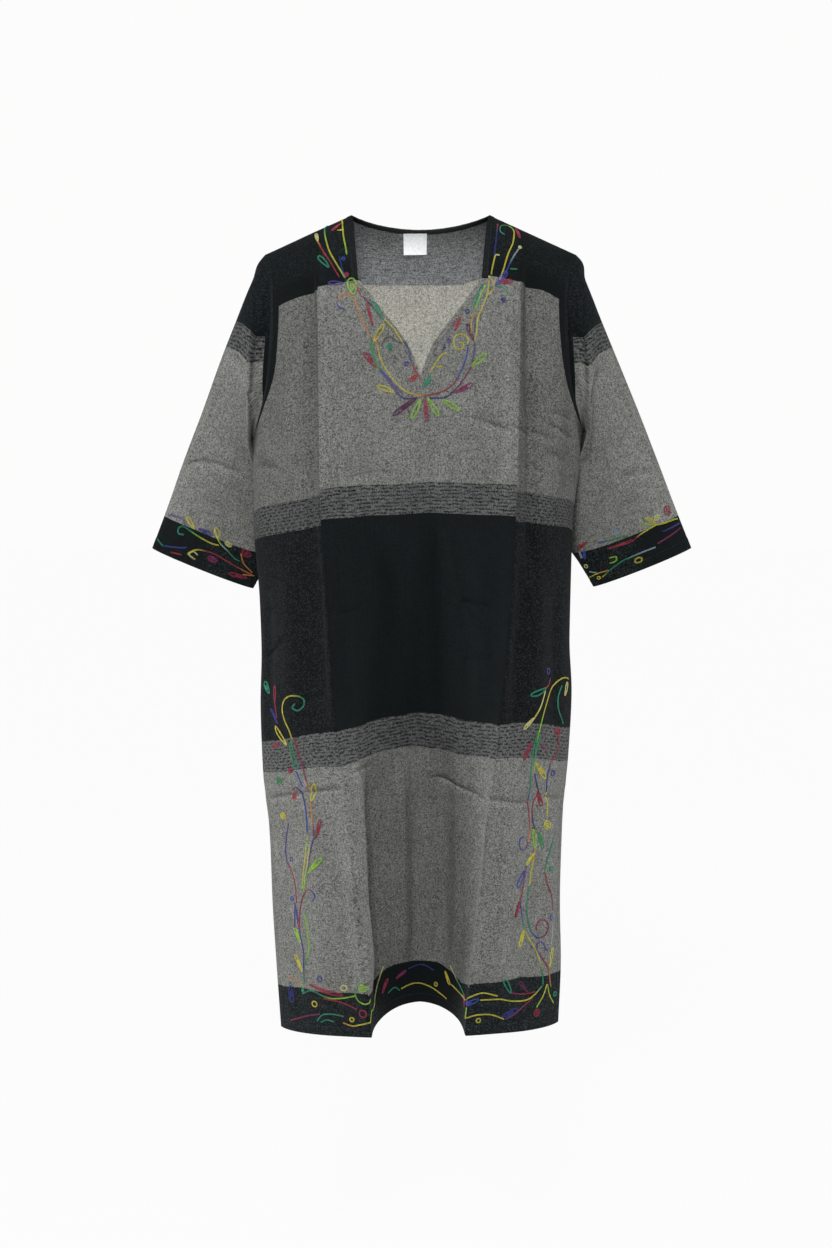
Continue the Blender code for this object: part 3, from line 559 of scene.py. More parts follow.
@dataclass
class SleeveDrape:
    """Carries flat points of a sleeve, (turn, share of the way down), to the garment.

    Turn runs from 0 at the shoulder point over the front (0.25) to the underarm (0.5) and on
    over the back (0.75) to the shoulder point again.
    """

    hand: Hand
    count: int = 2 * ARMHOLE_STEPS
    shares: np.ndarray = field(init=False)
    rings: np.ndarray = field(init=False)
    tangents: np.ndarray = field(init=False)

    def __post_init__(self) -> None:
        """Work out the sleeve's sections from the armhole and the table."""
        ring, outward = self.armhole_ring()
        angle = np.arange(self.count) * 2 * math.pi / self.count
        lead = np.where(np.cos(angle) > 0, LEAD_TOP, LEAD_UNDERARM) * np.cos(angle) ** 2
        lead += np.where(np.sin(angle) > 0, LEAD_FRONT, LEAD_BACK) * np.sin(angle) ** 2
        shares, rings = [0.0, LEAD_SHARE], [ring, ring + outward * lead[:, None]]
        for row in SLEEVE_ROWS[self.hand]:
            outer = np.array((self.hand * row.outer_x, row.outer_y, row.outer_z))
            inner = np.array((self.hand * row.inner_x, row.inner_y, row.inner_z))
            middle, across = (outer + inner) / 2, (outer - inner) / 2
            rings.append(middle + np.cos(angle)[:, None] * across
                         + np.sin(angle)[:, None] * np.array((0, -row.depth, 0)))
            shares.append(row.share)
        self.shares, self.rings = np.array(shares), np.array(rings)
        steps = np.diff(self.shares)
        slopes = np.diff(self.rings, axis=0) / steps[:, None, None]
        self.tangents = np.empty_like(self.rings)
        self.tangents[0], self.tangents[-1] = slopes[0], slopes[-1]
        for index in range(1, len(shares) - 1):
            before, after = steps[index - 1], steps[index]
            mixed = after * slopes[index - 1] + before * slopes[index]
            self.tangents[index] = mixed / (before + after)

    def armhole_ring(self) -> tuple[np.ndarray, np.ndarray]:
        """The armhole seam as a closed ring: top, front, underarm, back.

        Returns:
            The ring's points and, for each, the way in which the sleeve leaves it.
        """
        ring, outward = [], []
        for face in Face:
            cut = even_steps(curve_through(ARMHOLES[face]), ARMHOLE_STEPS)
            heading = unit_rows(np.gradient(cut, axis=0))
            inner = cut - ARMHOLE_PROBE * np.column_stack((heading[:, 1], -heading[:, 0]))
            drape, flip = BodyDrape(face), np.array((int(self.hand), 1))
            here, behind = drape.place(cut * flip), drape.place(inner * flip)
            way = unit_rows(here - behind)
            if face == Face.FRONT:
                ring.extend(here)
                outward.extend(way)
            else:
                ring.extend(here[-2:0:-1])
                outward.extend(way[-2:0:-1])
                outward[0] = outward[0] + way[0]
                outward[ARMHOLE_STEPS] = outward[ARMHOLE_STEPS] + way[-1]
        outward = unit_rows(np.array(outward))
        angle = np.arange(self.count) * 2 * math.pi / self.count
        top, underarm = np.clip(np.cos(angle), 0, 1), np.clip(-np.cos(angle), 0, 1)
        outward += top[:, None] * np.array(SLEEVE_AXIS) * (int(self.hand), 1, 1)
        outward += underarm[:, None] * np.array((UNDERARM_OUTWARD * self.hand, 0, 0))
        return np.array(ring), unit_rows(outward)

    def place(self, flat: np.ndarray) -> np.ndarray:
        """Flat (turn, share) points -> their places in the frame.

        Args:
            flat: Turn round the sleeve and share of its way, one point a row.

        Returns:
            Points in the frame, one a row.
        """
        turn, share = flat[:, 0] % 1.0 * self.count, np.clip(flat[:, 1], 0, 1)
        column = turn.astype(int) % self.count
        beside, part = (column + 1) % self.count, (turn - np.floor(turn))[:, None]
        last = len(self.shares) - 2
        index = np.clip(np.searchsorted(self.shares, share, side="right") - 1, 0, last)
        step = (self.shares[index + 1] - self.shares[index])[:, None]
        u = (share - self.shares[index])[:, None] / step

        def read(table: np.ndarray, row: np.ndarray) -> np.ndarray:
            """A table's points at a row, between two columns."""
            return table[row, column] * (1 - part) + table[row, beside] * part

        return ((1 + 2 * u) * (1 - u) ** 2 * read(self.rings, index)
                + u * (1 - u) ** 2 * step * read(self.tangents, index)
                + u * u * (3 - 2 * u) * read(self.rings, index + 1)
                + u * u * (u - 1) * step * read(self.tangents, index + 1))


# ==== Relief: creases and unevenness ====
class Crease(NamedTuple):
    """A ridge (height > 0) or trough (height < 0) along a run of the cloth, in millimetres.

    A lean above 0 makes it steep on its right and broad on its left; below 0 the other way.
    """

    across: float
    down: float
    to_across: float
    to_down: float
    width: float
    height: float
    lean: float = 0.0


def crease_table(*rows: tuple[float, ...]) -> tuple[Crease, ...]:
    """Creases from plain rows: from across and down, to across and down, width, height, lean."""
    return tuple(Crease(*row) for row in rows)


FRONT_SOFT = crease_table(
    # left side panel of the chest
    (-142, 84, -143, 452, 15, -6.0, 0.6), (-139, 110, -140, 460, 7, -8.0, 0.3),
    (-182, 150, -178, 430, 14, 2.0), (-210, 190, -206, 430, 13, -2.0),
    (-234, 320, -230, 470, 10, 1.6),
    # middle of the chest
    (-122, 100, -121, 440, 7, 2.4, -0.4), (-84, 230, -66, 480, 15, -3.4),
    (-34, 320, -34, 520, 15, 2.6), (12, 290, 16, 560, 14, -5.0),
    (68, 250, 74, 480, 17, 3.4), (104, 170, 110, 430, 8, -2.6),
    (120, 130, 120, 430, 6, 2.2, 0.3),
    # right side panel of the chest
    (139, 94, 140, 470, 22, -6.0, -0.78), (146, 90, 150, 300, 9, -8.0, -0.2),
    (150, 240, 161, 520, 9, -12.0, -0.2), (192, 150, 200, 420, 13, 3.0),
    (218, 220, 222, 430, 12, -2.0),
    # black band
    (-140, 432, -144, 716, 17, -10.0, 0.7), (-106, 430, -99, 710, 11, 5.0, 0.3),
    (-50, 470, -66, 760, 15, -8.0), (-14, 470, -28, 760, 13, 4.0),
    (24, 430, 32, 740, 14, -7.0, -0.2), (82, 450, 92, 710, 16, 5.0),
    (144, 450, 148, 720, 10, -8.0, -0.3), (176, 470, 184, 740, 13, 4.0),
    (214, 510, 216, 740, 12, -4.4), (-190, 470, -192, 740, 15, 4.4),
    (-236, 500, -238, 740, 12, -4.4),
    # skirt
    (-100, 700, -114, 1110, 13, 11.0, 0.55), (-74, 752, -90, 1110, 14, -14.0, -0.5),
    (-28, 748, -26, 1090, 11, 11.0), (27, 720, 34, 1090, 15, -10.0, -0.3),
    (109, 700, 111, 1110, 24, -9.0, 0.75), (58, 770, 62, 1080, 8, 3.0),
    (-147, 740, -150, 1110, 9, -2.4), (-182, 760, -186, 1120, 14, 4.4),
    (-230, 800, -236, 1120, 13, -5.0), (158, 750, 164, 1110, 12, 5.0),
    (198, 780, 206, 1120, 12, -5.0), (238, 800, 244, 1110, 10, 4.0),
)
FRONT_PRESSED = crease_table(
    # ironed edges of the middle panel
    (-130, 90, -130, 452, 2.6, 0.7), (143, 100, 152, 270, 4.0, -2.6),
    (151, 250, 163, 430, 4.0, -3.0), (-125, 726, -131, 886, 4.2, 2.6),
    (-131, 870, -133, 1064, 4.2, 2.6),
    # packing folds across the skirt
    (-262, 793, -186, 791, 2.8, -4.4), (-200, 791, -128, 789, 2.8, -4.2),
    (-116, 772, -70, 776, 2.8, -3.4), (8, 799, 110, 819, 2.8, -4.2),
    (112, 806, 194, 814, 2.8, -4.2), (214, 804, 262, 810, 2.8, -4.0),
    # wrinkles of the black band
    (-262, 596, -168, 572, 3.0, -4.8), (-268, 530, -190, 540, 3.0, -3.4),
    (56, 548, 106, 552, 3.0, -4.6), (60, 628, 110, 620, 3.0, -3.4),
    (-120, 560, -84, 556, 2.8, -3.2), (34, 444, 52, 540, 4.6, 2.4),
    (50, 530, 80, 590, 4.2, 2.2), (160, 480, 196, 500, 3.0, -3.2),
    # armpits
    (-246, 318, -206, 340, 4.2, 3.0), (-250, 338, -190, 360, 3.6, -4.0),
    (-240, 362, -200, 384, 4.4, 1.6), (170, 306, 232, 318, 3.4, -4.0),
    (176, 342, 216, 352, 3.6, -3.2), (186, 356, 226, 374, 4.4, 1.6),
    # wrinkles that run out from the point of the V
    (76, 305, 130, 325, 2.8, -3.8), (114, 314, 188, 325, 2.8, -3.6),
    (176, 290, 228, 294, 2.8, -3.0),
    # edge of the facing behind the neck
    (-96, 160, -64, 264, 2.6, -0.8), (-62, 262, -40, 306, 2.6, -0.9),
    (-40, 308, 62, 305, 2.6, -1.1), (60, 305, 88, 250, 2.6, -0.9),
    (88, 256, 97, 160, 2.6, -0.8),
    # the rest of the chest
    (70, 304, 102, 322, 3.0, -2.2), (-110, 382, -20, 376, 3.2, -1.0),
    (24, 300, 52, 380, 5.0, -1.2),
)
BACK_SOFT = crease_table(
    (-110, 100, -120, 430, 8, 2.9), (104, 110, 112, 460, 9, -3.1),
    (-60, 160, -70, 480, 12, -2.0), (52, 180, 60, 520, 13, 2.0),
    (-160, 180, -166, 520, 12, -2.6), (164, 200, 170, 560, 12, 2.6),
    (-30, 480, -38, 860, 14, 2.2), (34, 520, 26, 900, 13, -2.2),
    (-190, 520, -200, 900, 13, 2.4), (196, 540, 204, 930, 13, -2.4),
    (-90, 560, -96, 1000, 10, -2.4), (92, 600, 98, 1040, 10, 2.4),
    (-150, 760, -160, 1110, 12, -2.2), (154, 800, 166, 1110, 12, 2.2),
    (-20, 860, -16, 1110, 13, -2.0),
)
BACK_PRESSED = crease_table(
    (-256, 780, -90, 774, 2.6, -1.5), (-70, 776, 60, 770, 2.6, -1.3),
    (80, 772, 254, 784, 2.6, -1.5), (-240, 380, -90, 376, 2.8, -1.1),
    (60, 378, 232, 384, 2.8, -1.3), (-234, 330, -190, 362, 3.6, 2.2),
    (186, 340, 236, 366, 3.6, 2.2), (-210, 600, -120, 596, 2.8, -1.1),
    (110, 604, 214, 598, 2.8, -1.1),
)
SLEEVE_CREASES = {
    # across is the turn in hundredths, down the share in hundredths, width and height in mm
    Hand.LEFT: crease_table(
        (7, 2.2, 46, 2.0, 5.6, -9.0), (8, 33, 36, 6, 2.8, -4.4),
        (14, 39, 30, 46, 6.0, 0.7), (4, 72, 27, 55, 2.8, -4.8),
        (10, 76, 26, 80, 6.0, 0.5), (36, 20, 40, 50, 9.0, -0.7),
        (22, 14, 24, 60, 9.0, 1.0), (60, 20, 72, 46, 6.0, -1.2),
        (66, 52, 86, 58, 5.0, 1.0), (8, 20, 9, 84, 9.0, 0.7),
        (16, 56, 17, 92, 9.0, -0.6),
    ),
    Hand.RIGHT: crease_table(
        (7, 2.2, 46, 2.0, 5.6, -9.0), (12, 34, 34, 9, 2.8, -2.8),
        (22, 63, 8, 73, 2.8, -3.8), (35, 20, 40, 50, 9.0, -0.7),
        (21, 14, 23, 58, 9.0, 1.0), (14, 72, 30, 82, 6.0, 0.6),
        (62, 22, 74, 48, 6.0, -1.2), (68, 56, 88, 60, 5.0, 1.0),
        (8, 24, 9, 84, 9.0, -0.7), (15, 40, 17, 92, 9.0, 0.6),
    ),
}


def distance_to_run(flat: np.ndarray, crease: Crease,
                    scale: np.ndarray) -> tuple[np.ndarray, np.ndarray]:
    """How far flat points lie from a crease's run.

    Args:
        flat: Flat points, in the crease's own units.
        crease: The run.
        scale: Metres for one unit across and down.

    Returns:
        Distances in metres, stretched by the lean, and the share of the run next to each point.
    """
    start = np.array((crease.across, crease.down)) * scale
    run = np.array((crease.to_across, crease.to_down)) * scale - start
    offset = flat * scale - start
    share = offset @ run / (run @ run)
    right = np.sign(offset[:, 0] * run[1] - offset[:, 1] * run[0])
    distance = np.linalg.norm(offset - np.clip(share, 0, 1)[:, None] * run, axis=1)
    return distance / (1 - crease.lean * right), share


def crease_height(flat: np.ndarray, creases: Iterable[Crease], scale: np.ndarray,
                  pressed: bool) -> np.ndarray:
    """Height of a set of creases at flat points.

    Args:
        flat: Flat points in the creases' units.
        creases: The set.
        scale: Metres for one unit across and down.
        pressed: Whether the creases are sharp in the middle, as after ironing.

    Returns:
        Heights in metres.
    """
    height = np.zeros(len(flat))
    for crease in creases:
        distance, share = distance_to_run(flat, crease, scale)
        width = crease.width * MM
        fade = smooth_step(*CREASE_RISE, share) * (1 - smooth_step(*CREASE_FALL, share))
        if pressed:
            profile = np.exp(-distance / width)
        else:
            profile = np.exp(-(distance / width) ** 2)
        height += crease.height * MM * profile * fade
    return height


def undulation(places: np.ndarray, seed: float) -> np.ndarray:
    """Slow unevenness of hanging cloth, read from smooth noise in space.

    Args:
        places: Points in the frame.
        seed: Shift that gives each sheet its own pattern.

    Returns:
        Heights in metres.
    """
    squeezed = places / UNDULATION_SIZE * UNDULATION_RATE + seed
    return UNDULATION * np.array([noise.noise(tuple(point)) for point in squeezed])


# ==== Surfaces: a drape with its relief ====
@dataclass(frozen=True)
class Sheet:
    """A cut piece, triangulated flat and carried to the garment.

    Fields: the piece's name, its draped middle surface, the same with the seam gaps taken off,
    its triangles, the cloth coordinates of every triangle corner, its relief, how far each point
    lies past the dark strip along the armhole (partly black cloth, partly painted shade), and half
    its thickness.
    """

    name: str
    middle: np.ndarray
    pulled: np.ndarray
    triangles: np.ndarray
    corners: np.ndarray
    relief: np.ndarray
    strip: np.ndarray
    half_wall: float

    def cut(self) -> tuple[float, float, float]:
        """Width, length and area of the flat piece.

        Returns:
            Width and length in metres, area in square metres.
        """
        one, two = (self.corners[:, corner] - self.corners[:, 0] for corner in (1, 2))
        area = np.abs(one[:, 0] * two[:, 1] - one[:, 1] * two[:, 0]).sum() / 2
        width, length = np.ptp(self.corners.reshape(-1, 2), axis=0)
        return float(width), float(length), float(area)


def folded(flat: np.ndarray) -> np.ndarray:
    """Flat points moved to the right-hand half of the cut."""
    return np.column_stack((np.abs(flat[:, 0]), flat[:, 1]))


def turned(from_edge: np.ndarray, width: float) -> np.ndarray:
    """1 where the cloth is turned under along an edge, 0 past the turn's width."""
    return 1 - smooth_step(width - TURN_RISE, width + TURN_RISE, from_edge)


class ClothSurface:
    """Cloth that can be read at any flat point: its outer face and the way that it looks."""

    def drape(self, flat: np.ndarray) -> np.ndarray:
        """Flat points -> places on the bare drape."""
        raise NotImplementedError

    def relief(self, flat: np.ndarray, places: np.ndarray) -> np.ndarray:
        """Height of creases, hems and unevenness at flat points."""
        raise NotImplementedError

    def steps(self) -> tuple[np.ndarray, np.ndarray]:
        """A small step across and a small step down, in flat points."""
        raise NotImplementedError

    def outward(self) -> float:
        """Sign that turns (across x down) outwards."""
        raise NotImplementedError

    def read(self, flat: np.ndarray, lift: float) -> tuple[np.ndarray, np.ndarray]:
        """The outer face of the cloth at flat points.

        Args:
            flat: Flat points, one a row.
            lift: Height above the outer face; less than minus a wall's thickness is inside.

        Returns:
            Points and unit normals in the frame.
        """
        places = self.drape(flat)
        first, second = (self.drape(flat + step) - self.drape(flat - step)
                         for step in self.steps())
        normals = unit_rows(np.cross(first, second)) * self.outward()
        height = self.relief(flat, places) + CLOTH_WALL / 2 + lift
        return places + normals * height[:, None], normals


@dataclass(frozen=True)
class BodySurface(ClothSurface):
    """The front or the back as a surface over the flat cut."""

    face: Face

    def drape(self, flat: np.ndarray) -> np.ndarray:
        """Flat points -> places on the bare drape."""
        return BodyDrape(self.face).place(flat)

    def outward(self) -> float:
        """Sign that turns (across x down) outwards."""
        return float(self.face)

    def steps(self) -> tuple[np.ndarray, np.ndarray]:
        """A small step across and a small step down, in flat points."""
        return np.array((PROBE, 0)), np.array((0, PROBE))

    def seam_distance(self, flat: np.ndarray) -> np.ndarray:
        """Distance from the nearest seam: side, armhole, shoulder or binding.

        Args:
            flat: Flat points, one a row.

        Returns:
            One distance for each point.
        """
        armhole_steps, side_steps, back_steps = COARSE_SEAM_STEPS
        armhole = even_steps(curve_through(ARMHOLES[self.face]), armhole_steps)
        downs = np.linspace(UNDERARM_DOWN, SLIT_DOWN, 5)
        side = np.column_stack((smooth(SIDE_ROWS, "half_cut", downs), downs))
        shoulder = np.array(((NECK_HALF, 0.0), (SHOULDER_ACROSS, SHOULDER_DROP)))
        neck = np.array([row[2] for row in binding_rows(side_steps, back_steps)
                         if row[0] == self.face and row[2][0] > -JUST_BELOW])
        return np.min([distance_to_line(folded(flat), line)
                       for line in (armhole, side, shoulder, neck)], axis=0)

    def relief(self, flat: np.ndarray, places: np.ndarray) -> np.ndarray:
        """Height of creases, hems and unevenness at flat points.

        Args:
            flat: Flat points, one a row.
            places: The same points on the drape.

        Returns:
            Heights in metres.
        """
        scale = np.array((MM, MM))
        soft, pressed = ((FRONT_SOFT, FRONT_PRESSED) if self.face == Face.FRONT
                         else (BACK_SOFT, BACK_PRESSED))
        height = crease_height(flat / MM, soft, scale, pressed=False)
        height += crease_height(flat / MM, pressed, scale, pressed=True)
        height += undulation(places, seed=BODY_SEED * self.face)
        height *= smooth_step(*SEAM_CALM, self.seam_distance(flat))
        return height + self.turned_edges(flat)

    def turned_edges(self, flat: np.ndarray) -> np.ndarray:
        """The step up where the cloth is folded double: hem, slits and V edge.

        Args:
            flat: Flat points, one a row.

        Returns:
            Heights in metres.
        """
        width, down = np.abs(flat[:, 0]), flat[:, 1]
        slit = turned(smooth(SIDE_ROWS, "half_cut", down) - width, SLIT_TURN)
        slit *= smooth_step(SLIT_DOWN + SLIT_START[0], SLIT_DOWN + SLIT_START[1], down)
        step = np.maximum(turned(HEM_DOWN - down, HEM_TURN), slit)
        if self.face == Face.FRONT:
            edge = even_steps(curve_through(V_EDGE), COARSE_V_STEPS)
            step = np.maximum(step, turned(distance_to_line(folded(flat), edge), V_TURN))
        return TURN_STEP * step


@dataclass(frozen=True)
class SleeveSurface(ClothSurface):
    """A sleeve as a surface over (turn, share)."""

    drape_form: SleeveDrape

    def drape(self, flat: np.ndarray) -> np.ndarray:
        """Flat points -> places on the bare drape."""
        return self.drape_form.place(flat)

    def outward(self) -> float:
        """Sign that turns (across x down) outwards."""
        return float(self.drape_form.hand)

    def steps(self) -> tuple[np.ndarray, np.ndarray]:
        """A small step round the sleeve and a small step down, in flat points."""
        return np.array((0.5 / self.drape_form.count, 0)), np.array((0, SHARE_PROBE))

    def relief(self, flat: np.ndarray, places: np.ndarray) -> np.ndarray:
        """Height of creases, the turned cuff and unevenness.

        Args:
            flat: Flat points, one a row.
            places: The same points on the drape.

        Returns:
            Heights in metres.
        """
        creases = SLEEVE_CREASES[self.drape_form.hand]
        height = crease_height(flat * 100, creases, SLEEVE_CREASE_SCALE, pressed=False)
        height += undulation(places, seed=SLEEVE_SEED * self.drape_form.hand)
        height *= smooth_step(0.0, ARMHOLE_CALM, flat[:, 1])
        return height + TURN_STEP * turned((1 - flat[:, 1]) * SLEEVE_FALL, CUFF_TURN)


def beside_v(distance: float) -> np.ndarray:
    """The line beside the right-hand edge of the V, at a distance from it.

    Args:
        distance: How far from the edge, into the cloth.

    Returns:
        Flat points.
    """
    edge = even_steps(curve_through(V_EDGE), V_STEPS)
    heading = unit_rows(np.gradient(edge, axis=0))
    return edge + np.column_stack((heading[:, 1], -heading[:, 0])) * distance


def distance_to_line(points: np.ndarray, line: np.ndarray) -> np.ndarray:
    """Distance of flat points from a line of flat points.

    Args:
        points: Points, one a row.
        line: Points along the line.

    Returns:
        One distance for each point.
    """
    nearest = np.full(len(points), np.inf)
    for start, end in zip(line[:-1], line[1:]):
        run = end - start
        share = np.clip((points - start) @ run / max(run @ run, NO_SQUARE), 0, 1)
        nearest = np.minimum(nearest, np.linalg.norm(points - start - share[:, None] * run,
                                                     axis=1))
    return nearest


# ==== Cut pieces ====
def binding_rows(side_steps: int, back_steps: int) -> list[tuple]:
    """The bound neck edge, from its left end round the back to its right end.

    Args:
        side_steps: Steps down each straight neck side on the front.
        back_steps: Steps round the back neck.

    Returns:
        (face, edge point, inner point) for each step.
    """
    inner_half = NECK_HALF + BINDING_WIDTH
    seam_down = float(shoulder_line(np.array(inner_half))[2])
    rows = []
    for down in np.linspace(V_CORNER[1], 0, side_steps, endpoint=False):
        edge = NECK_HALF + (V_CORNER[0] - NECK_HALF) * down / V_CORNER[1]
        inner_down = seam_down + (V_CORNER[1] - seam_down) * down / V_CORNER[1]
        rows.append((Face.FRONT, (edge, down), (edge + BINDING_WIDTH, inner_down)))
    left = [(face, (-edge[0], edge[1]), (-inner[0], inner[1])) for face, edge, inner in rows]
    middle = []
    for step in range(back_steps + 1):
        angle = math.pi * step / back_steps
        cosine, sine = math.cos(angle), math.sin(angle)
        edge = (-NECK_HALF * cosine, BACK_NECK_DROP * sine)
        inner = (-inner_half * cosine,
                 abs(cosine) * seam_down + (BACK_NECK_DROP + BINDING_WIDTH) * sine)
        middle.append((Face.BACK, edge, inner))
    return left + middle + rows[::-1]


@dataclass(frozen=True)
class BodyPanel:
    """The front or the back: its cut, triangulated and draped.

    Fields: its name and face, the spacing of its mesh, and how far, in spacings, the mesh inside
    keeps from the cut's edge, from the rows along sharp creases and from the stitch lines.
    """

    name: str
    face: Face
    step: float
    clear_of_edge: float = 0.5
    clear_of_creases: float = 0.45
    clear_of_lines: float = 0.4

    @property
    def surface(self) -> BodySurface:
        """The panel as a surface over its flat cut."""
        return BodySurface(self.face)

    def half_outline(self) -> np.ndarray:
        """The cut's edge on the right-hand half, from the centre of the neck to the hem.

        Returns:
            Flat points in order.
        """
        rows = binding_rows(NECK_SIDE_STEPS, NECK_BACK_STEPS)
        inner = np.array([row[2] for row in rows if row[0] == self.face and row[2][0] > ON_CENTRE])
        if self.face == Face.FRONT:
            parts = [even_steps(curve_through(V_EDGE[::-1]), V_STEPS), inner[::-1]]
        else:
            parts = [np.array(((0, BACK_NECK_DROP + BINDING_WIDTH),)), inner[:-1]]
        places = np.linspace(NECK_HALF + BINDING_WIDTH, SHOULDER_ACROSS, SHOULDER_STEPS + 1)[:-1]
        parts.append(np.column_stack((places, shoulder_line(places)[2])))
        parts.append(even_steps(curve_through(ARMHOLES[self.face]), ARMHOLE_STEPS))
        above = round((SLIT_DOWN - UNDERARM_DOWN) / SEAM_STEP)
        below = round((HEM_DOWN - SLIT_DOWN) / SEAM_STEP)
        downs = np.concatenate((np.linspace(UNDERARM_DOWN, SLIT_DOWN, above + 1)[1:],
                                np.linspace(SLIT_DOWN, HEM_DOWN, below + 1)[1:]))
        parts.append(np.column_stack((smooth(SIDE_ROWS, "half_cut", downs), downs)))
        hem_half = parts[-1][-1][0]
        hem = np.concatenate((self.side_columns(hem_half)[::-1][1:], self.centre_columns()[::-1]))
        parts.append(np.column_stack((hem, np.full(len(hem), HEM_DOWN))))
        return np.vstack(parts)

    def centre_columns(self) -> np.ndarray:
        """Across-distances from the centre line to just inside the crease."""
        count = round(CREASE_ACROSS / self.step)
        return CREASE_ACROSS * np.arange(count) / count

    def side_columns(self, half_cut: float) -> np.ndarray:
        """Across-distances from the crease to the side seam at one level."""
        count = round((smooth(SIDE_ROWS, "half_cut", COLUMN_LEVEL) - CREASE_ACROSS) / self.step)
        return CREASE_ACROSS + (half_cut - CREASE_ACROSS) * np.arange(count + 1) / count

    def features(self) -> list[np.ndarray]:
        """Lines on the right-hand half that the mesh follows: both sides of each stitch line.

        Returns:
            Lines of flat points.
        """
        lines = []
        for offset in (-FEATURE_OFFSET, FEATURE_OFFSET):
            level = HEM_DOWN - HEM_TURN + offset
            reach = float(smooth(SIDE_ROWS, "half_cut", level)) - self.step / 2
            places = np.linspace(0, reach, round(reach / self.step) + 1)
            lines.append(np.column_stack((places, np.full(len(places), level))))
            last = HEM_DOWN - HEM_TURN - self.step
            downs = np.linspace(SLIT_DOWN + self.step, last, round(SLIT_ROW / self.step))
            sides = smooth(SIDE_ROWS, "half_cut", downs) - SLIT_TURN + offset
            lines.append(np.column_stack((sides, downs)))
            if self.face == Face.FRONT:
                row = beside_v(V_TURN + offset)
                lines.append(row[(row[:, 0] > self.step / 2) & (row[:, 1] > V_ROW_TOP)])
        return lines

    def grid(self) -> np.ndarray:
        """The points inside the cut, on columns that follow the flare.

        Returns:
            Flat points, some of them still outside the cut.
        """
        levels = np.arange(GRID_TOP, HEM_DOWN, self.step)
        points = []
        for down in levels:
            half_cut = float(smooth(SIDE_ROWS, "half_cut", down))
            half = np.concatenate((self.centre_columns(), self.side_columns(half_cut)))
            across = np.concatenate((-half[:0:-1], half))
            points.append(np.column_stack((across, np.full(len(across), down))))
        return np.vstack(points)

    def crease_points(self, outline: np.ndarray, lines: Sequence[np.ndarray]) -> np.ndarray:
        """Extra points on and beside every sharp crease, clear of the edge and of the lines.

        Args:
            outline: The cut's edge.
            lines: The stitch lines.

        Returns:
            Flat points.
        """
        pressed = FRONT_PRESSED if self.face == Face.FRONT else BACK_PRESSED
        found = np.empty((0, 2))
        for crease in pressed:
            start = np.array((crease.across, crease.down)) * MM
            run = np.array((crease.to_across, crease.to_down)) * MM - start
            length = float(np.linalg.norm(run))
            beside = np.array((-run[1], run[0])) / length
            along = start + np.linspace(0, 1, round(length / CREASE_STEP) + 1)[:, None] * run
            for offset in (0, -1, 1):
                row = along + beside * offset * crease.width * MM * CREASE_BESIDE
                if len(found):
                    row = row[distance_to_points(row, found) > CREASE_STEP * 0.5]
                found = np.vstack((found, row))
        keep = is_inside(found, outline)
        for line in (np.vstack((outline, outline[:1])), *lines):
            keep &= distance_to_line(found, line) > CREASE_STEP * 0.6
        return found[keep]

    def fill(self, outline: np.ndarray) -> tuple[np.ndarray, np.ndarray]:
        """Fill the cut with triangles.

        Args:
            outline: The cut's edge.

        Returns:
            Flat points, those of the outline first, and the triangles.
        """
        lines = []
        for line in self.features():
            for flip in (1, -1):
                copy = line[1:] if flip < 0 and line[0][0] < ON_CENTRE else line
                lines.append(copy * (flip, 1))
        total = len(outline)
        edges = [(index, (index + 1) % total) for index in range(total)]
        for line in lines:
            edges.extend((total + index, total + index + 1) for index in range(len(line) - 1))
            total += len(line)
        fine = self.crease_points(outline, lines)
        grid = self.grid()
        keep = is_inside(grid, outline)
        keep &= distance_to_points(grid, fine) > self.step * self.clear_of_creases
        closed = np.vstack((outline, outline[:1]))
        keep &= distance_to_line(grid, closed) > self.step * self.clear_of_edge
        for line in lines:
            keep &= distance_to_line(grid, line) > self.step * self.clear_of_lines
        flat = np.vstack((outline, *lines, fine, grid[keep]))
        found = delaunay_2d_cdt([tuple(point) for point in flat], edges, [], 1, SAME_POINT)
        if len(found[0]) != len(flat):
            raise ValueError(f"{self.name}: two points of the cut meet")
        return flat, np.array([tuple(triangle) for triangle in found[2]])

    def sheet(self) -> Sheet:
        """Cut the panel into triangles and drape it.

        Returns:
            The draped sheet.
        """
        right = self.half_outline()
        outline = np.vstack((right, right[-2:0:-1] * (-1, 1)))
        flat, triangles = self.fill(outline)
        triangles = self.facing_out(triangles, flat)
        area = np.sum(outline[:, 0] * np.roll(outline[:, 1], -1)
                      - np.roll(outline[:, 0], -1) * outline[:, 1])
        shy = flat.copy()
        shy[:len(outline)] = inset(outline, SEAM_GAP / 2 * (1 if area > 0 else -1))
        drape = BodyDrape(self.face)
        middle = drape.place(flat)
        return Sheet(self.name, middle, drape.place(shy), triangles,
                     self.cloth_corners(flat, triangles), self.surface.relief(flat, middle),
                     self.past_strip(flat), CLOTH_WALL / 2)

    def past_strip(self, flat: np.ndarray) -> np.ndarray:
        """How far points lie past the dark strip along the armhole, which narrows downwards.

        The strip is partly black cloth and partly painted shade of the recess by the seam.

        Args:
            flat: Flat points, one a row.

        Returns:
            Metres, below 0 on the strip.
        """
        armhole = even_steps(curve_through(ARMHOLES[self.face]), CURVE_STEPS)
        reach = STRIP_WIDTH * (1 - smooth_step(*STRIP_TAPER, flat[:, 1]))
        return distance_to_line(folded(flat), armhole) - reach

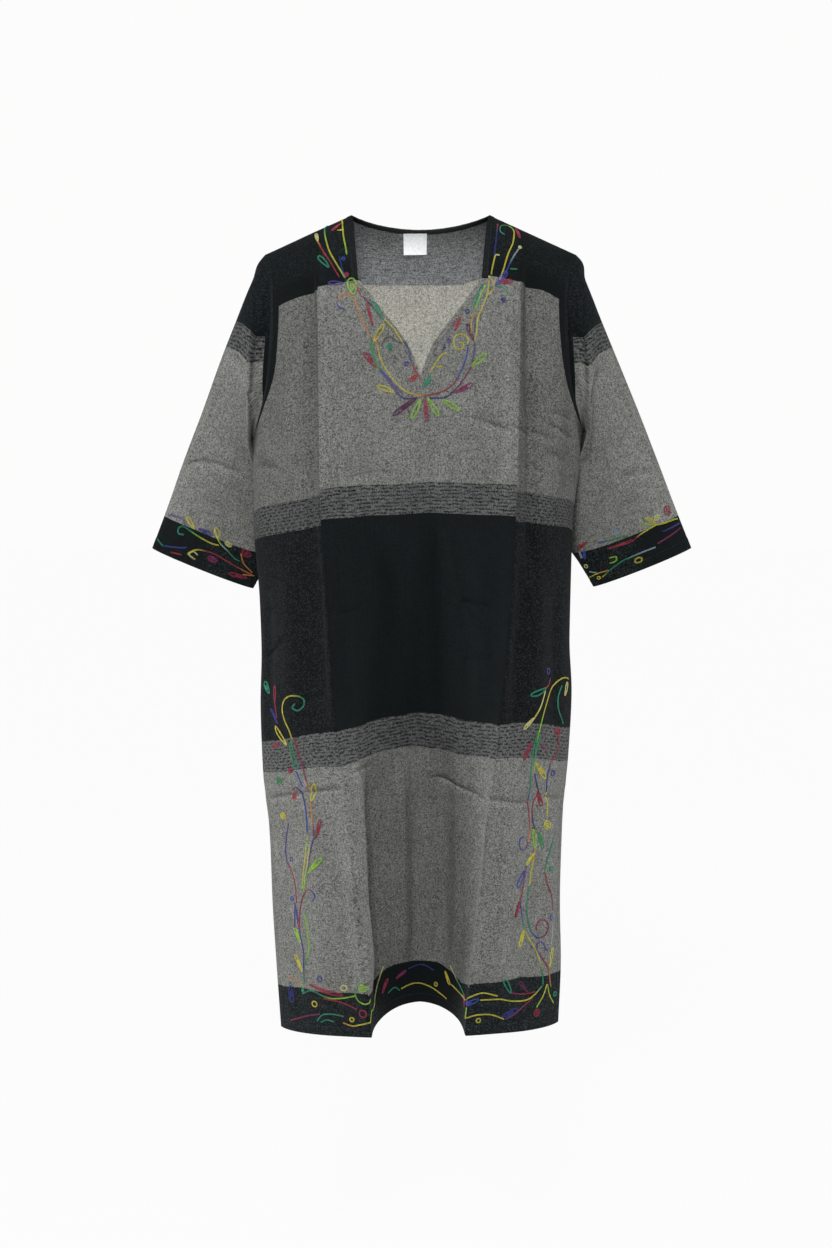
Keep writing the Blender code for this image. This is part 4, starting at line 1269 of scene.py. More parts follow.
    def facing_out(self, triangles: np.ndarray, flat: np.ndarray) -> np.ndarray:
        """Turn flat triangles so that the draped ones look out of the garment.

        Args:
            triangles: Corner indices.
            flat: Flat points, one a row.

        Returns:
            The triangles, turned where need be.
        """
        one = flat[triangles[:, 1]] - flat[triangles[:, 0]]
        two = flat[triangles[:, 2]] - flat[triangles[:, 0]]
        clockwise = one[:, 0] * two[:, 1] - one[:, 1] * two[:, 0] < 0
        keep = clockwise if self.face == Face.FRONT else ~clockwise
        return np.where(keep[:, None], triangles, triangles[:, ::-1])

    def cloth_corners(self, flat: np.ndarray, triangles: np.ndarray) -> np.ndarray:
        """Cloth coordinates of every triangle corner, with the weave shifted as it hangs.

        Args:
            flat: Flat points, one a row.
            triangles: Corner indices.

        Returns:
            Cloth coordinates as (triangle, corner, across and down).
        """
        corners = flat[triangles]
        across, down = corners[:, :, 0], corners[:, :, 1]
        sure = np.sign(across.mean(axis=1, keepdims=True))
        beyond = np.abs(across.mean(axis=1, keepdims=True)) > CREASE_ACROSS
        least = np.where(beyond, PANEL_EDGE[1] * MM, 0.0)
        most = np.where(beyond, 1.0, PANEL_EDGE[0] * MM)
        across = sure * np.clip(across * sure, least, most)
        levels = np.array(list(BAND_SHIFTS))
        shifts = np.stack([np.interp(across / MM, BAND_KNOTS, row)
                           for row in BAND_SHIFTS.values()])
        index = np.clip(np.searchsorted(levels, down) - 1, 0, len(levels) - 2)
        share = np.clip((down - levels[index]) / (levels[index + 1] - levels[index]), 0, 1)
        above = np.take_along_axis(shifts, index[None], axis=0)[0]
        below = np.take_along_axis(shifts, index[None] + 1, axis=0)[0]
        corners[:, :, 1] = down - (above + (below - above) * share) * MM
        return corners


def distance_to_points(places: np.ndarray, others: np.ndarray) -> np.ndarray:
    """Distance of every place from the nearest of the other points.

    Args:
        places: Points to measure from.
        others: Points to measure to.

    Returns:
        One distance for each place.
    """
    nearest = np.full(len(places), np.inf)
    for chunk in np.array_split(others, max(1, len(others) // 64)):
        gaps = np.linalg.norm(places[:, None] - chunk[None], axis=2)
        nearest = np.minimum(nearest, gaps.min(axis=1))
    return nearest


def is_inside(points: np.ndarray, outline: np.ndarray) -> np.ndarray:
    """Even-odd test of points against a closed outline.

    Args:
        points: Points to test.
        outline: Corners of the outline.

    Returns:
        True for each point inside.
    """
    inside = np.zeros(len(points), dtype=bool)
    x, y = points[:, 0], points[:, 1]
    for start, end in zip(outline, np.roll(outline, -1, axis=0)):
        if start[1] == end[1]:
            continue
        crosses = (start[1] > y) != (end[1] > y)
        at = start[0] + (y - start[1]) / (end[1] - start[1]) * (end[0] - start[0])
        inside ^= crosses & (x < at)
    return inside


def inset(outline: np.ndarray, distance: float) -> np.ndarray:
    """Move a closed outline inwards by a distance, with mitred corners.

    Args:
        outline: Corners of the outline.
        distance: How far in; below 0 is out.

    Returns:
        The moved corners.
    """
    before, after = np.roll(outline, 1, axis=0), np.roll(outline, -1, axis=0)
    first, second = unit_rows(outline - before), unit_rows(after - outline)
    normal_first = np.column_stack((-first[:, 1], first[:, 0]))
    normal_second = np.column_stack((-second[:, 1], second[:, 0]))
    mitre = normal_first + normal_second
    scale = np.maximum((mitre * normal_first).sum(axis=1), LEAST_MITRE)
    return outline + distance * mitre / scale[:, None]


@dataclass(frozen=True)
class Sleeve:
    """One sleeve: a tube of rings from the armhole seam to the cuff."""

    name: str
    hand: Hand

    @property
    def surface(self) -> SleeveSurface:
        """The sleeve as a surface over (turn, share)."""
        return SleeveSurface(SleeveDrape(self.hand))

    def shares(self) -> np.ndarray:
        """Shares of the way down at which there is a ring.

        Returns:
            Shares in order, from 0 to 1.
        """
        rows = round(SLEEVE_FALL / SLEEVE_STEP)
        cuff = 1 - CUFF_TURN / SLEEVE_FALL
        close = FEATURE_OFFSET / SLEEVE_FALL
        regular = np.linspace(LEAD_SHARE, cuff - 3 * close, rows)
        return np.concatenate(([0.0, LEAD_SHARE / 2], regular, [cuff - close, cuff + close],
                               np.linspace(cuff + 4 * close, 1.0, 3)))

    def sheet(self) -> Sheet:
        """Make the tube, opened for its cloth coordinates at the underarm seam.

        Returns:
            The draped sheet.
        """
        drape = SleeveDrape(self.hand)
        count, shares = drape.count, self.shares()
        turns = (0.5 + np.arange(count) / count) % 1.0
        flat = np.column_stack((np.tile(turns, len(shares)), np.repeat(shares, count)))
        middle = drape.place(flat)
        pulled = middle.copy()
        way = middle[count:2 * count] - middle[:count]
        pulled[:count] += unit_rows(way) * SEAM_GAP
        rings = middle.reshape(len(shares), count, 3)
        step = np.roll(rings, -1, axis=1) - rings
        along = (step[:, :, 0] * self.hand * SLEEVE_AXIS[0] + step[:, :, 2] * SLEEVE_AXIS[2])
        level = np.sqrt(np.maximum((step ** 2).sum(axis=2) - along ** 2, 0))
        around = np.pad(np.cumsum(level, axis=1), ((0, 0), (1, 0)))
        around -= around[:, [count // 2]]
        row, column = np.meshgrid(np.arange(len(shares) - 1), np.arange(count), indexing="ij")
        row, column = row.ravel(), column.ravel()
        beside = (column + 1) % count
        quads = np.column_stack((row * count + column, row * count + beside,
                                 (row + 1) * count + beside, (row + 1) * count + column))
        places = np.stack((self.cloth_place(row, column, shares, around, drape),
                           self.cloth_place(row, column + 1, shares, around, drape),
                           self.cloth_place(row + 1, column + 1, shares, around, drape),
                           self.cloth_place(row + 1, column, shares, around, drape)), axis=1)
        if self.hand == Hand.LEFT:
            quads, places = quads[:, ::-1], places[:, ::-1]
        triangles = np.vstack((quads[:, (0, 1, 2)], quads[:, (0, 2, 3)]))
        corners = np.vstack((places[:, (0, 1, 2)], places[:, (0, 2, 3)]))
        # the dark strip by the armhole: partly black cloth, partly painted shade of the recess
        reach = STRIP_WIDTH * smooth_step(-STRIP_TAPER[1], -STRIP_TAPER[0], middle[:, 2])
        return Sheet(self.name, middle, pulled, triangles, corners,
                     self.surface.relief(flat, middle), flat[:, 1] * SLEEVE_FALL - reach,
                     CLOTH_WALL / 2)

    def cloth_place(self, row: np.ndarray, column: np.ndarray, shares: np.ndarray,
                    around: np.ndarray, drape: SleeveDrape) -> np.ndarray:
        """Cloth coordinates of ring points: level distance from the top, and down the sleeve.

        Args:
            row: Ring of each point.
            column: Its place in the ring.
            shares: Share of the way of each ring.
            around: Level distances from the top, ring by ring.
            drape: The sleeve's drape.

        Returns:
            Cloth coordinates, one point a row.
        """
        turn = column / drape.count
        ring = drape.rings[0][((0.5 + turn) * drape.count).round().astype(int) % drape.count]
        start = ((ring[:, 0] * self.hand - SHOULDER_X) * SLEEVE_AXIS[0]
                 + (SHOULDER_Z - ring[:, 2]) * -SLEEVE_AXIS[2])
        even = start * (1 - shares[row]) + SLEEVE_LENGTH * shares[row]
        spot = drape.place(np.column_stack((0.5 + turn, shares[row])))
        plumb = ((spot[:, 0] * self.hand - SHOULDER_X) * SLEEVE_AXIS[0]
                 + (SHOULDER_Z - spot[:, 2]) * -SLEEVE_AXIS[2])
        return np.column_stack((around[row, column], (even + plumb) / 2))


# ==== Shells ====
def shared_normals(sheets: Sequence[Sheet], surfaces: Sequence[np.ndarray]) -> list[np.ndarray]:
    """Normals of joined surfaces, so that the walls of two pieces end flush at a seam.

    Args:
        sheets: The sheets; their middle surfaces say which points meet.
        surfaces: For each sheet, the points to take the normals from.

    Returns:
        Unit normals for every point of every sheet.
    """
    keys = np.round(np.vstack([sheet.middle for sheet in sheets]), 6)
    index = np.unique(keys, axis=0, return_inverse=True)[1].ravel()
    sums = np.zeros((index.max() + 1, 3))
    start = 0
    for sheet, points in zip(sheets, surfaces):
        a, b, c = (points[sheet.triangles[:, corner]] for corner in range(3))
        normal = np.cross(b - a, c - a)
        for corner in range(3):
            np.add.at(sums, index[start + sheet.triangles[:, corner]], normal)
        start += len(points)
    normals = unit_rows(sums[index])
    ends = np.cumsum([len(sheet.middle) for sheet in sheets])
    return np.split(normals, ends[:-1])


def rim_edges(triangles: np.ndarray) -> np.ndarray:
    """Directed edges that only one triangle uses.

    Args:
        triangles: Corner indices.

    Returns:
        Start and end of each edge of the rim.
    """
    pairs = np.vstack((triangles[:, (0, 1)], triangles[:, (1, 2)], triangles[:, (2, 0)]))
    size = triangles.max() + 1
    forward, backward = pairs[:, 0] * size + pairs[:, 1], pairs[:, 1] * size + pairs[:, 0]
    return pairs[~np.isin(forward, backward)]


def new_object(name: str, vertices: np.ndarray, faces: Sequence, smooth_faces: bool = True
               ) -> bpy.types.Object:
    """Make a mesh object at the origin.

    Args:
        name: Name of the object and of its mesh.
        vertices: Points in the frame.
        faces: Corner indices of each face.
        smooth_faces: Whether it is shaded smooth.

    Returns:
        The linked object.
    """
    mesh = bpy.data.meshes.new(name)
    mesh.from_pydata(vertices.tolist(), [], [list(map(int, face)) for face in faces])
    mesh.update()
    if smooth_faces:
        mesh.shade_smooth()
    made = bpy.data.objects.new(name, mesh)
    bpy.context.scene.collection.objects.link(made)
    return made


def shell(sheet: Sheet, normals: np.ndarray, relief_normals: np.ndarray,
          outer: bpy.types.Material, inner: bpy.types.Material) -> bpy.types.Object:
    """Close a draped sheet into a wall of even thickness, with an outer and an inner finish.

    Args:
        sheet: The draped sheet.
        normals: Unit normals with the relief, for the wall.
        relief_normals: Unit normals of the bare drape, for the relief.
        outer: Finish of the outer face and the rims.
        inner: Finish of the inner face.

    Returns:
        The finished object.
    """
    count = len(sheet.middle)
    middle = sheet.pulled + relief_normals * sheet.relief[:, None]
    vertices = np.vstack((middle + normals * sheet.half_wall, middle - normals * sheet.half_wall))
    rim = rim_edges(sheet.triangles)
    start, end = rim[:, 0], rim[:, 1]
    walls = np.vstack((np.column_stack((end, start, count + start)),
                       np.column_stack((end, count + start, count + end))))
    faces = np.vstack((sheet.triangles, count + sheet.triangles[:, ::-1], walls))
    made = new_object(sheet.name, vertices, faces)
    place = np.zeros((count, 2))
    place[sheet.triangles.ravel()] = sheet.corners.reshape(-1, 2)
    corners = np.concatenate((sheet.corners, sheet.corners[:, ::-1], place[walls % count]))
    layer = made.data.uv_layers.new(name=CLOTH_MAP)
    layer.uv.foreach_set("vector", corners.astype(np.float32).ravel())
    made.data.materials.append(outer)
    made.data.materials.append(inner)
    index = np.zeros(len(faces), dtype=np.int32)
    index[len(sheet.triangles):2 * len(sheet.triangles)] = 1
    made.data.polygons.foreach_set("material_index", index)
    past = made.data.attributes.new(PAST_STRIP, "FLOAT", "POINT")
    past.data.foreach_set("value", np.tile(sheet.strip, 2).astype(np.float32))
    mark_sharp(made.data, np.vstack((rim, rim + count)))
    return made


def mark_sharp(mesh: bpy.types.Mesh, pairs: np.ndarray) -> None:
    """Shade the given edges as sharp.

    Args:
        mesh: The mesh.
        pairs: Start and end of each edge.
    """
    ends = np.empty(len(mesh.edges) * 2, dtype=np.int32)
    mesh.edges.foreach_get("vertices", ends)
    ends = np.sort(ends.reshape(-1, 2), axis=1).astype(np.int64)
    pairs = np.sort(pairs, axis=1).astype(np.int64)
    size = len(mesh.vertices)
    sharp = np.isin(ends[:, 0] * size + ends[:, 1], pairs[:, 0] * size + pairs[:, 1])
    layer = mesh.attributes.new("sharp_edge", "BOOLEAN", "EDGE")
    layer.data.foreach_set("value", sharp)


# ==== Finishes ====
Socket = bpy.types.NodeSocket
Value = "float | Sequence[float] | Socket"


class Sketch:
    """A material being drawn: small helpers that add and join shader nodes."""

    def __init__(self, name: str) -> None:
        """Start a material with one Principled shader.

        Args:
            name: Name of the material.
        """
        self.material = bpy.data.materials.new(name)
        self.material.use_nodes = True
        self.tree = self.material.node_tree
        self.shader = self.tree.nodes["Principled BSDF"]

    def feed(self, socket: Socket, value: Value) -> None:
        """Link a socket, or set it if the value is a constant.

        Args:
            socket: The socket.
            value: What it gets.
        """
        if isinstance(value, bpy.types.NodeSocket):
            self.tree.links.new(value, socket)
        else:
            socket.default_value = value

    def math(self, operation: str, first: Value, second: Value = 0.0,
             clamp: bool = False) -> Socket:
        """A Math node.

        Args:
            operation: Its operation.
            first: First value.
            second: Second value.
            clamp: Whether it is held from 0 to 1.

        Returns:
            The result.
        """
        node = self.tree.nodes.new("ShaderNodeMath")
        node.operation, node.use_clamp = operation, clamp
        self.feed(node.inputs[0], first)
        self.feed(node.inputs[1], second)
        return node.outputs[0]

    def times(self, first: Value, second: Value) -> Socket:
        """A product."""
        return self.math("MULTIPLY", first, second)

    def plus(self, first: Value, second: Value, clamp: bool = False) -> Socket:
        """A sum, held between 0 and 1 if it is clamped."""
        return self.math("ADD", first, second, clamp)

    def darker(self, tone: Value, share: Value) -> Socket:
        """A tone made darker by a share of itself."""
        return self.times(tone, self.math("SUBTRACT", 1.0, share))

    def size(self, value: Value) -> Socket:
        """A number without its sign."""
        return self.math("ABSOLUTE", value)

    def wave(self, value: Value, length: float) -> Socket:
        """A sine of the given wavelength."""
        return self.math("SINE", self.times(value, 2 * math.pi / length))

    def millimetres(self, place: Value) -> Socket:
        """A place in metres, in millimetres.

        Args:
            place: The place in metres.

        Returns:
            The place in millimetres.
        """
        node = self.tree.nodes.new("ShaderNodeVectorMath")
        node.operation = "MULTIPLY"
        self.feed(node.inputs[0], place)
        node.inputs[1].default_value = (1000, 1000, 1000)
        return node.outputs[0]

    def join(self, x: Value, y: Value, z: Value = 0.0) -> Socket:
        """A vector from three numbers.

        Args:
            x: First number.
            y: Second number.
            z: Third number.

        Returns:
            The vector.
        """
        node = self.tree.nodes.new("ShaderNodeCombineXYZ")
        for socket, value in zip(node.inputs, (x, y, z)):
            self.feed(socket, value)
        return node.outputs[0]

    def split(self, value: Value) -> tuple[Socket, Socket, Socket]:
        """The three numbers of a vector.

        Args:
            value: The vector.

        Returns:
            Its numbers.
        """
        node = self.tree.nodes.new("ShaderNodeSeparateXYZ")
        self.feed(node.inputs[0], value)
        return tuple(node.outputs)

    def stretched(self, across: Value, down: Value, rates: tuple[float, float],
                  seed: float = 0.0) -> Socket:
        """A place on the cloth, its two ways scaled, with a seed as the third number."""
        return self.join(self.times(across, rates[0]), self.times(down, rates[1]), seed)

    def toned(self, colour: Value, tone: Socket) -> Socket:
        """A colour multiplied by a tone."""
        return self.mix(1.0, colour, self.join(tone, tone, tone), "MULTIPLY")

    def noise(self, where: Value, scale: float, detail: float = 1.0,
              roughness: float = 0.5) -> Socket:
        """A Noise texture's value.

        Args:
            where: The place.
            scale: Spots for one unit.
            detail: Finer layers.
            roughness: Strength of the finer layers.

        Returns:
            A value from 0 to 1.
        """
        node = self.tree.nodes.new("ShaderNodeTexNoise")
        self.feed(node.inputs["Vector"], where)
        node.inputs["Scale"].default_value = scale
        node.inputs["Detail"].default_value = detail
        node.inputs["Roughness"].default_value = roughness
        return node.outputs[0]

    def random(self, where: Value) -> Socket:
        """A White Noise texture's value, one random number for each exact place.

        Args:
            where: The place.

        Returns:
            A value from 0 to 1.
        """
        node = self.tree.nodes.new("ShaderNodeTexWhiteNoise")
        self.feed(node.inputs["Vector"], where)
        return node.outputs["Value"]

    def mix(self, share: Value, first: Value, second: Value, blend: str = "MIX") -> Socket:
        """A colour between two.

        Args:
            share: Share of the second.
            first: First colour.
            second: Second colour.
            blend: How they are blended.

        Returns:
            The colour.
        """
        node = self.tree.nodes.new("ShaderNodeMix")
        node.data_type, node.blend_type = "RGBA", blend
        self.feed(node.inputs[0], share)
        self.feed(node.inputs[6], first)
        self.feed(node.inputs[7], second)
        return node.outputs[2]

    def spread(self, value: Value, low: float, high: float, to_low: float = 0.0,
               to_high: float = 1.0) -> Socket:
        """A value moved from one range to another and held inside it.

        Args:
            value: The value.
            low: Least of its range.
            high: Most of its range.
            to_low: What the least becomes.
            to_high: What the most becomes.

        Returns:
            The moved value.
        """
        node = self.tree.nodes.new("ShaderNodeMapRange")
        self.feed(node.inputs["Value"], value)
        node.inputs["From Min"].default_value, node.inputs["From Max"].default_value = low, high
        node.inputs["To Min"].default_value, node.inputs["To Max"].default_value = to_low, to_high
        return node.outputs[0]

    def steps(self, where: Value, stops: Sequence[tuple[float, tuple]]) -> Socket:
        """A colour ramp that jumps from colour to colour.

        Args:
            where: Place on the ramp, from 0 to 1.
            stops: Place and colour of each step.

        Returns:
            The colour.
        """
        node = self.tree.nodes.new("ShaderNodeValToRGB")
        node.color_ramp.interpolation = "CONSTANT"
        self.feed(node.inputs[0], where)
        elements = node.color_ramp.elements
        while len(elements) < len(stops):
            elements.new(1.0)
        for element, (place, colour) in zip(elements, stops):
            element.position = place
            element.color = (*colour, 1.0)
        return node.outputs[0]

    def map_place(self, name: str) -> Socket:
        """A UV map's coordinates.

        Args:
            name: Name of the map.

        Returns:
            The coordinates.
        """
        node = self.tree.nodes.new("ShaderNodeUVMap")
        node.uv_map = name
        return node.outputs[0]

    def attribute(self, name: str, output: str) -> Socket:
        """An attribute of the piece.

        Args:
            name: Name of the attribute.
            output: Which of its outputs.

        Returns:
            The value.
        """
        node = self.tree.nodes.new("ShaderNodeAttribute")
        node.attribute_name = name
        return node.outputs[output]

    def object_place(self) -> Socket:
        """Object coordinates."""
        return self.tree.nodes.new("ShaderNodeTexCoord").outputs["Object"]

    def bump(self, height: Value, strength: float, distance: float) -> None:
        """Let a height stand out of the surface.

        Args:
            height: The height.
            strength: Strength of the effect.
            distance: Metres for a height of 1.
        """
        node = self.tree.nodes.new("ShaderNodeBump")
        node.inputs["Strength"].default_value = strength
        node.inputs["Distance"].default_value = distance
        self.feed(node.inputs["Height"], height)
        self.tree.links.new(node.outputs[0], self.shader.inputs["Normal"])

    def finish(self, colour: Value, roughness: Value, sheen: float,
               specular: float = 0.3) -> bpy.types.Material:
        """Feed the shader and give back the material.

        Args:
            colour: Base colour.
            roughness: Roughness.
            sheen: Weight of the sheen.
            specular: Level of the shine.

        Returns:
            The material.
        """
        self.feed(self.shader.inputs["Base Color"], colour)
        self.feed(self.shader.inputs["Roughness"], roughness)
        self.shader.inputs["Sheen Weight"].default_value = sheen
        self.shader.inputs["Sheen Roughness"].default_value = 0.5
        self.shader.inputs["Specular IOR Level"].default_value = specular
        return self.material


def shade(red: float, green: float, blue: float) -> tuple[float, float, float, float]:
    """A screen colour from 0 to 255 as the shader's linear colour.

    Args:
        red: Red.
        green: Green.
        blue: Blue.

    Returns:
        Linear red, green, blue, 1.
    """
    def linear(value: float) -> float:
        """One channel."""
        value /= 255
        return value / 12.92 if value <= 0.04045 else ((value + 0.055) / 1.055) ** 2.4
    return (*map(linear, (red, green, blue)), 1.0)


class Weave(Enum):
    """The three weaves of the cloth, as masks of the band ramp: (black, flecked, grey)."""

    BLACK = (1.0, 0.0, 0.0)
    FLECKED = (0.0, 1.0, 0.0)
    GREY = (0.0, 0.0, 1.0)


class Band(NamedTuple):
    """A weave that begins at a distance down the cloth."""

    down: float
    weave: Weave


BODY_BANDS = (Band(0.0, Weave.BLACK), Band(0.127, Weave.GREY), Band(0.385, Weave.FLECKED),
              Band(0.431, Weave.BLACK), Band(0.706, Weave.FLECKED), Band(0.751, Weave.GREY),
              Band(1.076, Weave.BLACK))
SLEEVE_BANDS = (Band(0.0, Weave.BLACK), Band(0.096, Weave.FLECKED), Band(0.130, Weave.GREY),
                Band(0.372, Weave.BLACK))


@dataclass(frozen=True)
class BandedCotton:
    """Yarn-dyed cotton in black, grey and flecked bands, as its outer or its inner face shows.

    Fields: name, bands, the light and dark yarn of each weave, how strongly light flecks show
    in the black away from the middle panel (over the yoke they are painted highlight), how
    strongly uneven wefts mottle it, millimetres from dash to dash on the middle panel, and how
    much painted shade darkens the chest's side panels.
    """

    name: str
    bands: tuple[Band, ...]
    grey_light: tuple[float, float, float, float]
    grey_dark: tuple[float, float, float, float]
    black_light: tuple[float, float, float, float]
    black_dark: tuple[float, float, float, float]
    fleck_light: tuple[float, float, float, float]
    fleck_dark: tuple[float, float, float, float]
    glint: float
    mottle: float
    dash: float
    # painted shade: how much darker the chest's side panels are drawn
    painted_panel_shade: float

    def build(self) -> bpy.types.Material:
        """Draw the finish on the cloth's own coordinates.

        Returns:
            The material.
        """
        sketch = Sketch(self.name)
        place = sketch.millimetres(sketch.map_place(CLOTH_MAP))
        across, down, _ = sketch.split(place)
        aside = sketch.spread(sketch.size(across), 129.5, 130.5)
        wobble = sketch.spread(sketch.noise(place, 0.35), 0.2, 0.8, -0.35, 0.35)
        level = sketch.math("DIVIDE", sketch.plus(down, wobble), 1000 * RAMP_LENGTH)
        stops = [(band.down / RAMP_LENGTH, band.weave.value) for band in self.bands]
        black, flecked, _ = sketch.split(sketch.steps(level, stops))
        # the dark strip at the armhole: black cloth in part, and in part painted shade of the
        # recess beside the seam
        strip = sketch.spread(sketch.attribute(PAST_STRIP, "Fac"), -0.0004, 0.0, 1.0, 0.0)
        black = sketch.math("MAXIMUM", black, strip)
        flecked = sketch.math("SUBTRACT", flecked, strip, clamp=True)
        grain = self.grain(sketch, across, down)
        grey = sketch.mix(grain, self.grey_dark, self.grey_light)
        dark = sketch.mix(self.speckle(sketch, across, down, aside, grain), self.black_dark,
                          self.black_light)
        spots = sketch.mix(self.dashes(sketch, across, down, grain), self.fleck_light,
                           self.fleck_dark)
        colour = sketch.mix(flecked, sketch.mix(black, grey, dark), spots)
        streak = sketch.noise(sketch.stretched(across, down, (0.55, 0.012)), 1.0, 2.0)
        blotch = sketch.noise(place, 0.02, 2.0)
        tone = sketch.times(sketch.spread(streak, 0.3, 0.7, 0.90, 1.09),
                            sketch.spread(blotch, 0.3, 0.7, 0.93, 1.07))
        # painted shade: the side panels of the chest and the black of the waist are drawn darker
        tone = self.paint_panel_shade(sketch, tone, across, down, aside, black)
        sketch.bump(self.yarns(sketch, across, down, grain), 0.3, 0.0002)
        return sketch.finish(sketch.toned(colour, tone), sketch.spread(grain, 0, 1, 0.95, 0.82),
                             0.02, 0.12)

    def paint_panel_shade(self, sketch: Sketch, tone: Socket, across: Socket, down: Socket, aside: Socket,
               black: Socket) -> Socket:
        """Shade the side panels: the chest beside the ironed edges, and the black of the waist.

        Args:
            sketch: The material.
            tone: The tone to darken with painted shade.
            across: Millimetres from the centre line.
            down: Millimetres down the cloth.
            aside: 1 on the side panels.
            black: 1 where the weave is black.

        Returns:
            The tone with its painted shade.
        """
        # painted shade on the chest's side panels, strongest beside the ironed edge of the middle
        # panel
        fold = sketch.spread(sketch.size(across), PANEL_EDGE[1], FOLD_REACH, PAINTED_FOLD_SHADE, 1.0)
        chest = sketch.times(aside, sketch.spread(down, *BLACK_FROM, self.painted_panel_shade, 0.0))
        # painted shade on the black of the waist beside the middle panel
        waist = sketch.times(sketch.spread(down, *BLACK_FROM),
                             sketch.spread(down, *SHADE_TO, PAINTED_SHADE_BLACK, 0.0))
        tone = sketch.darker(tone, sketch.times(chest, fold))
        return sketch.darker(tone, sketch.times(waist, sketch.times(aside, black)))

    def grain(self, sketch: Sketch, across: Socket, down: Socket) -> Socket:
        """Salt and pepper of crossing yarns, each a short run of its own tone.

        Args:
            sketch: The material.
            across: Millimetres from the centre line.
            down: Millimetres down the cloth.

        Returns:
            A tone from 0 to 1.
        """
        tones = []
        for along, beside, seed in ((across, down, 1.0), (down, across, 2.0)):
            yarn = sketch.math("FLOOR", sketch.math("DIVIDE", beside, YARN_WIDTH))
            start = sketch.times(sketch.random(sketch.join(yarn, seed)), 9.0)
            run = sketch.math("DIVIDE", sketch.plus(along, start), YARN_RUN)
            tones.append(sketch.random(sketch.join(sketch.math("FLOOR", run), yarn, seed)))
        return sketch.spread(sketch.plus(*tones), 0.08, 1.92)

    def speckle(self, sketch: Sketch, across: Socket, down: Socket, aside: Socket,
                grain: Socket) -> Socket:
        """Faint light flecks in the black beside the middle and in the low band, and painted
        highlight flecks over the yoke.

        Args:
            sketch: The material.
            across: Millimetres from the centre line.
            down: Millimetres down the cloth.
            aside: 1 on the side panels.
            grain: The tone of the yarns.

        Returns:
            Share of the light yarn, from 0 to 1.
        """
        slub = sketch.noise(sketch.stretched(across, down, (0.05, 0.65), 7.0), 1.0, 2.0, 0.7)
        base = sketch.plus(sketch.spread(slub, 0.36, 0.66, 0.0, 0.3 * self.mottle),
                           sketch.times(grain, 0.7 * self.mottle))
        sparks = sketch.spread(grain, 0.50, 0.90, 0.0, self.glint)
        middle = sketch.times(aside, sketch.spread(down, BLACK_FROM[0] - 2, BLACK_FROM[1]))
        last = 1000 * self.bands[-1].down
        low = sketch.times(sketch.spread(down, last - 2, last),
                           sketch.spread(sketch.size(across), *LOW_GLINT))
        # painted highlight: light flecks over the yoke's black that lift it as its sheen would
        yoke_highlight = sketch.spread(down, *YOKE_HIGHLIGHT_TO, 0.45, 0.0)
        where = sketch.math("MAXIMUM", sketch.math("MAXIMUM", middle, low), yoke_highlight)
        return sketch.plus(base, sketch.times(sparks, where), clamp=True)

    def dashes(self, sketch: Sketch, across: Socket, down: Socket, grain: Socket) -> Socket:
        """Dark rows, long and thin on the middle panel, and staggered dashes beside it.

        Args:
            sketch: The material.
            across: Millimetres from the centre line.
            down: Millimetres down the cloth.
            grain: The tone of the yarns.

        Returns:
            Share of the dark yarn, from 0 to 1.
        """
        drift = sketch.noise(sketch.stretched(across, down, (0.03, 0.02), 5.0), 1.0, 2.0)
        ripple = sketch.noise(sketch.stretched(across, down, (0.14, 0.06), 8.0), 1.0, 1.0)
        down = sketch.plus(down, sketch.plus(sketch.times(drift, 6.0), sketch.times(ripple, 3.4)))
        width = sketch.size(across)
        height = sketch.spread(width, *PANEL_EDGE, DASH_ROW, SIDE_DASH_ROW)
        pitch = sketch.spread(width, *PANEL_EDGE, self.dash, SHORT_DASH)
        rows = sketch.math("DIVIDE", down, height)
        row = sketch.math("FLOOR", rows)
        shift = sketch.plus(sketch.times(sketch.random(sketch.join(row, 3.0)), 0.3),
                            sketch.times(row, DASH_STAGGER))
        along = sketch.plus(sketch.math("DIVIDE", across, pitch), shift)
        uneven = sketch.noise(sketch.join(along, sketch.times(row, 7.3)), 0.8, 1.0)
        along = sketch.plus(along, sketch.times(uneven, 0.8))
        profile = sketch.times(sketch.math("PINGPONG", sketch.math("FRACT", rows), 0.5), 2.0)
        gap = sketch.spread(width, *PANEL_EDGE, 0.03, 0.09)
        in_dash = sketch.math("SUBTRACT", sketch.math("PINGPONG", along, 0.5), gap)
        dash = sketch.times(sketch.spread(profile, 0.30, 0.95), sketch.spread(in_dash, 0.0, 0.16))
        ground = sketch.spread(grain, 0.0, 1.0, 0.92, -0.24)
        return sketch.plus(sketch.times(dash, 0.60), ground, clamp=True)

    def yarns(self, sketch: Sketch, across: Socket, down: Socket, grain: Socket) -> Socket:
        """Height of a plain weave: yarns over and under."""
        crossing = sketch.times(sketch.wave(across, YARN_PITCH), sketch.wave(down, YARN_PITCH))
        return sketch.plus(crossing, sketch.times(grain, 0.5))


@dataclass(frozen=True)
class BlackBinding:
    """Matt black twill tape."""

    name: str = "black_binding_tape"

    def build(self) -> bpy.types.Material:
        """Draw the tape's fine ribs, its fuzz, and painted light that makes it lighter towards the
        back.

        Returns:
            The material.
        """
        sketch = Sketch(self.name)
        place = sketch.millimetres(sketch.object_place())
        x, y, z = sketch.split(place)
        slope = sketch.plus(x, sketch.plus(y, z))
        rib = sketch.math("SINE", sketch.times(slope, 5.2))
        fuzz = sketch.noise(place, 0.7, 2.0)
        # random fuzz, plus painted light that makes the back of the tape lighter than its front
        fuzz_and_back_light = sketch.plus(sketch.spread(fuzz, 0.25, 0.75, 0.0, 0.4),
                           sketch.spread(y, 0, 40, 0.0, 0.6))
        colour = sketch.mix(fuzz_and_back_light, shade(4, 6, 8), shade(46, 48, 50))
        sketch.bump(sketch.plus(fuzz, sketch.times(rib, 0.2)), 0.5, 0.0003)
        return sketch.finish(colour, sketch.spread(fuzz, 0, 1, 0.97, 0.88), 0.0, 0.05)


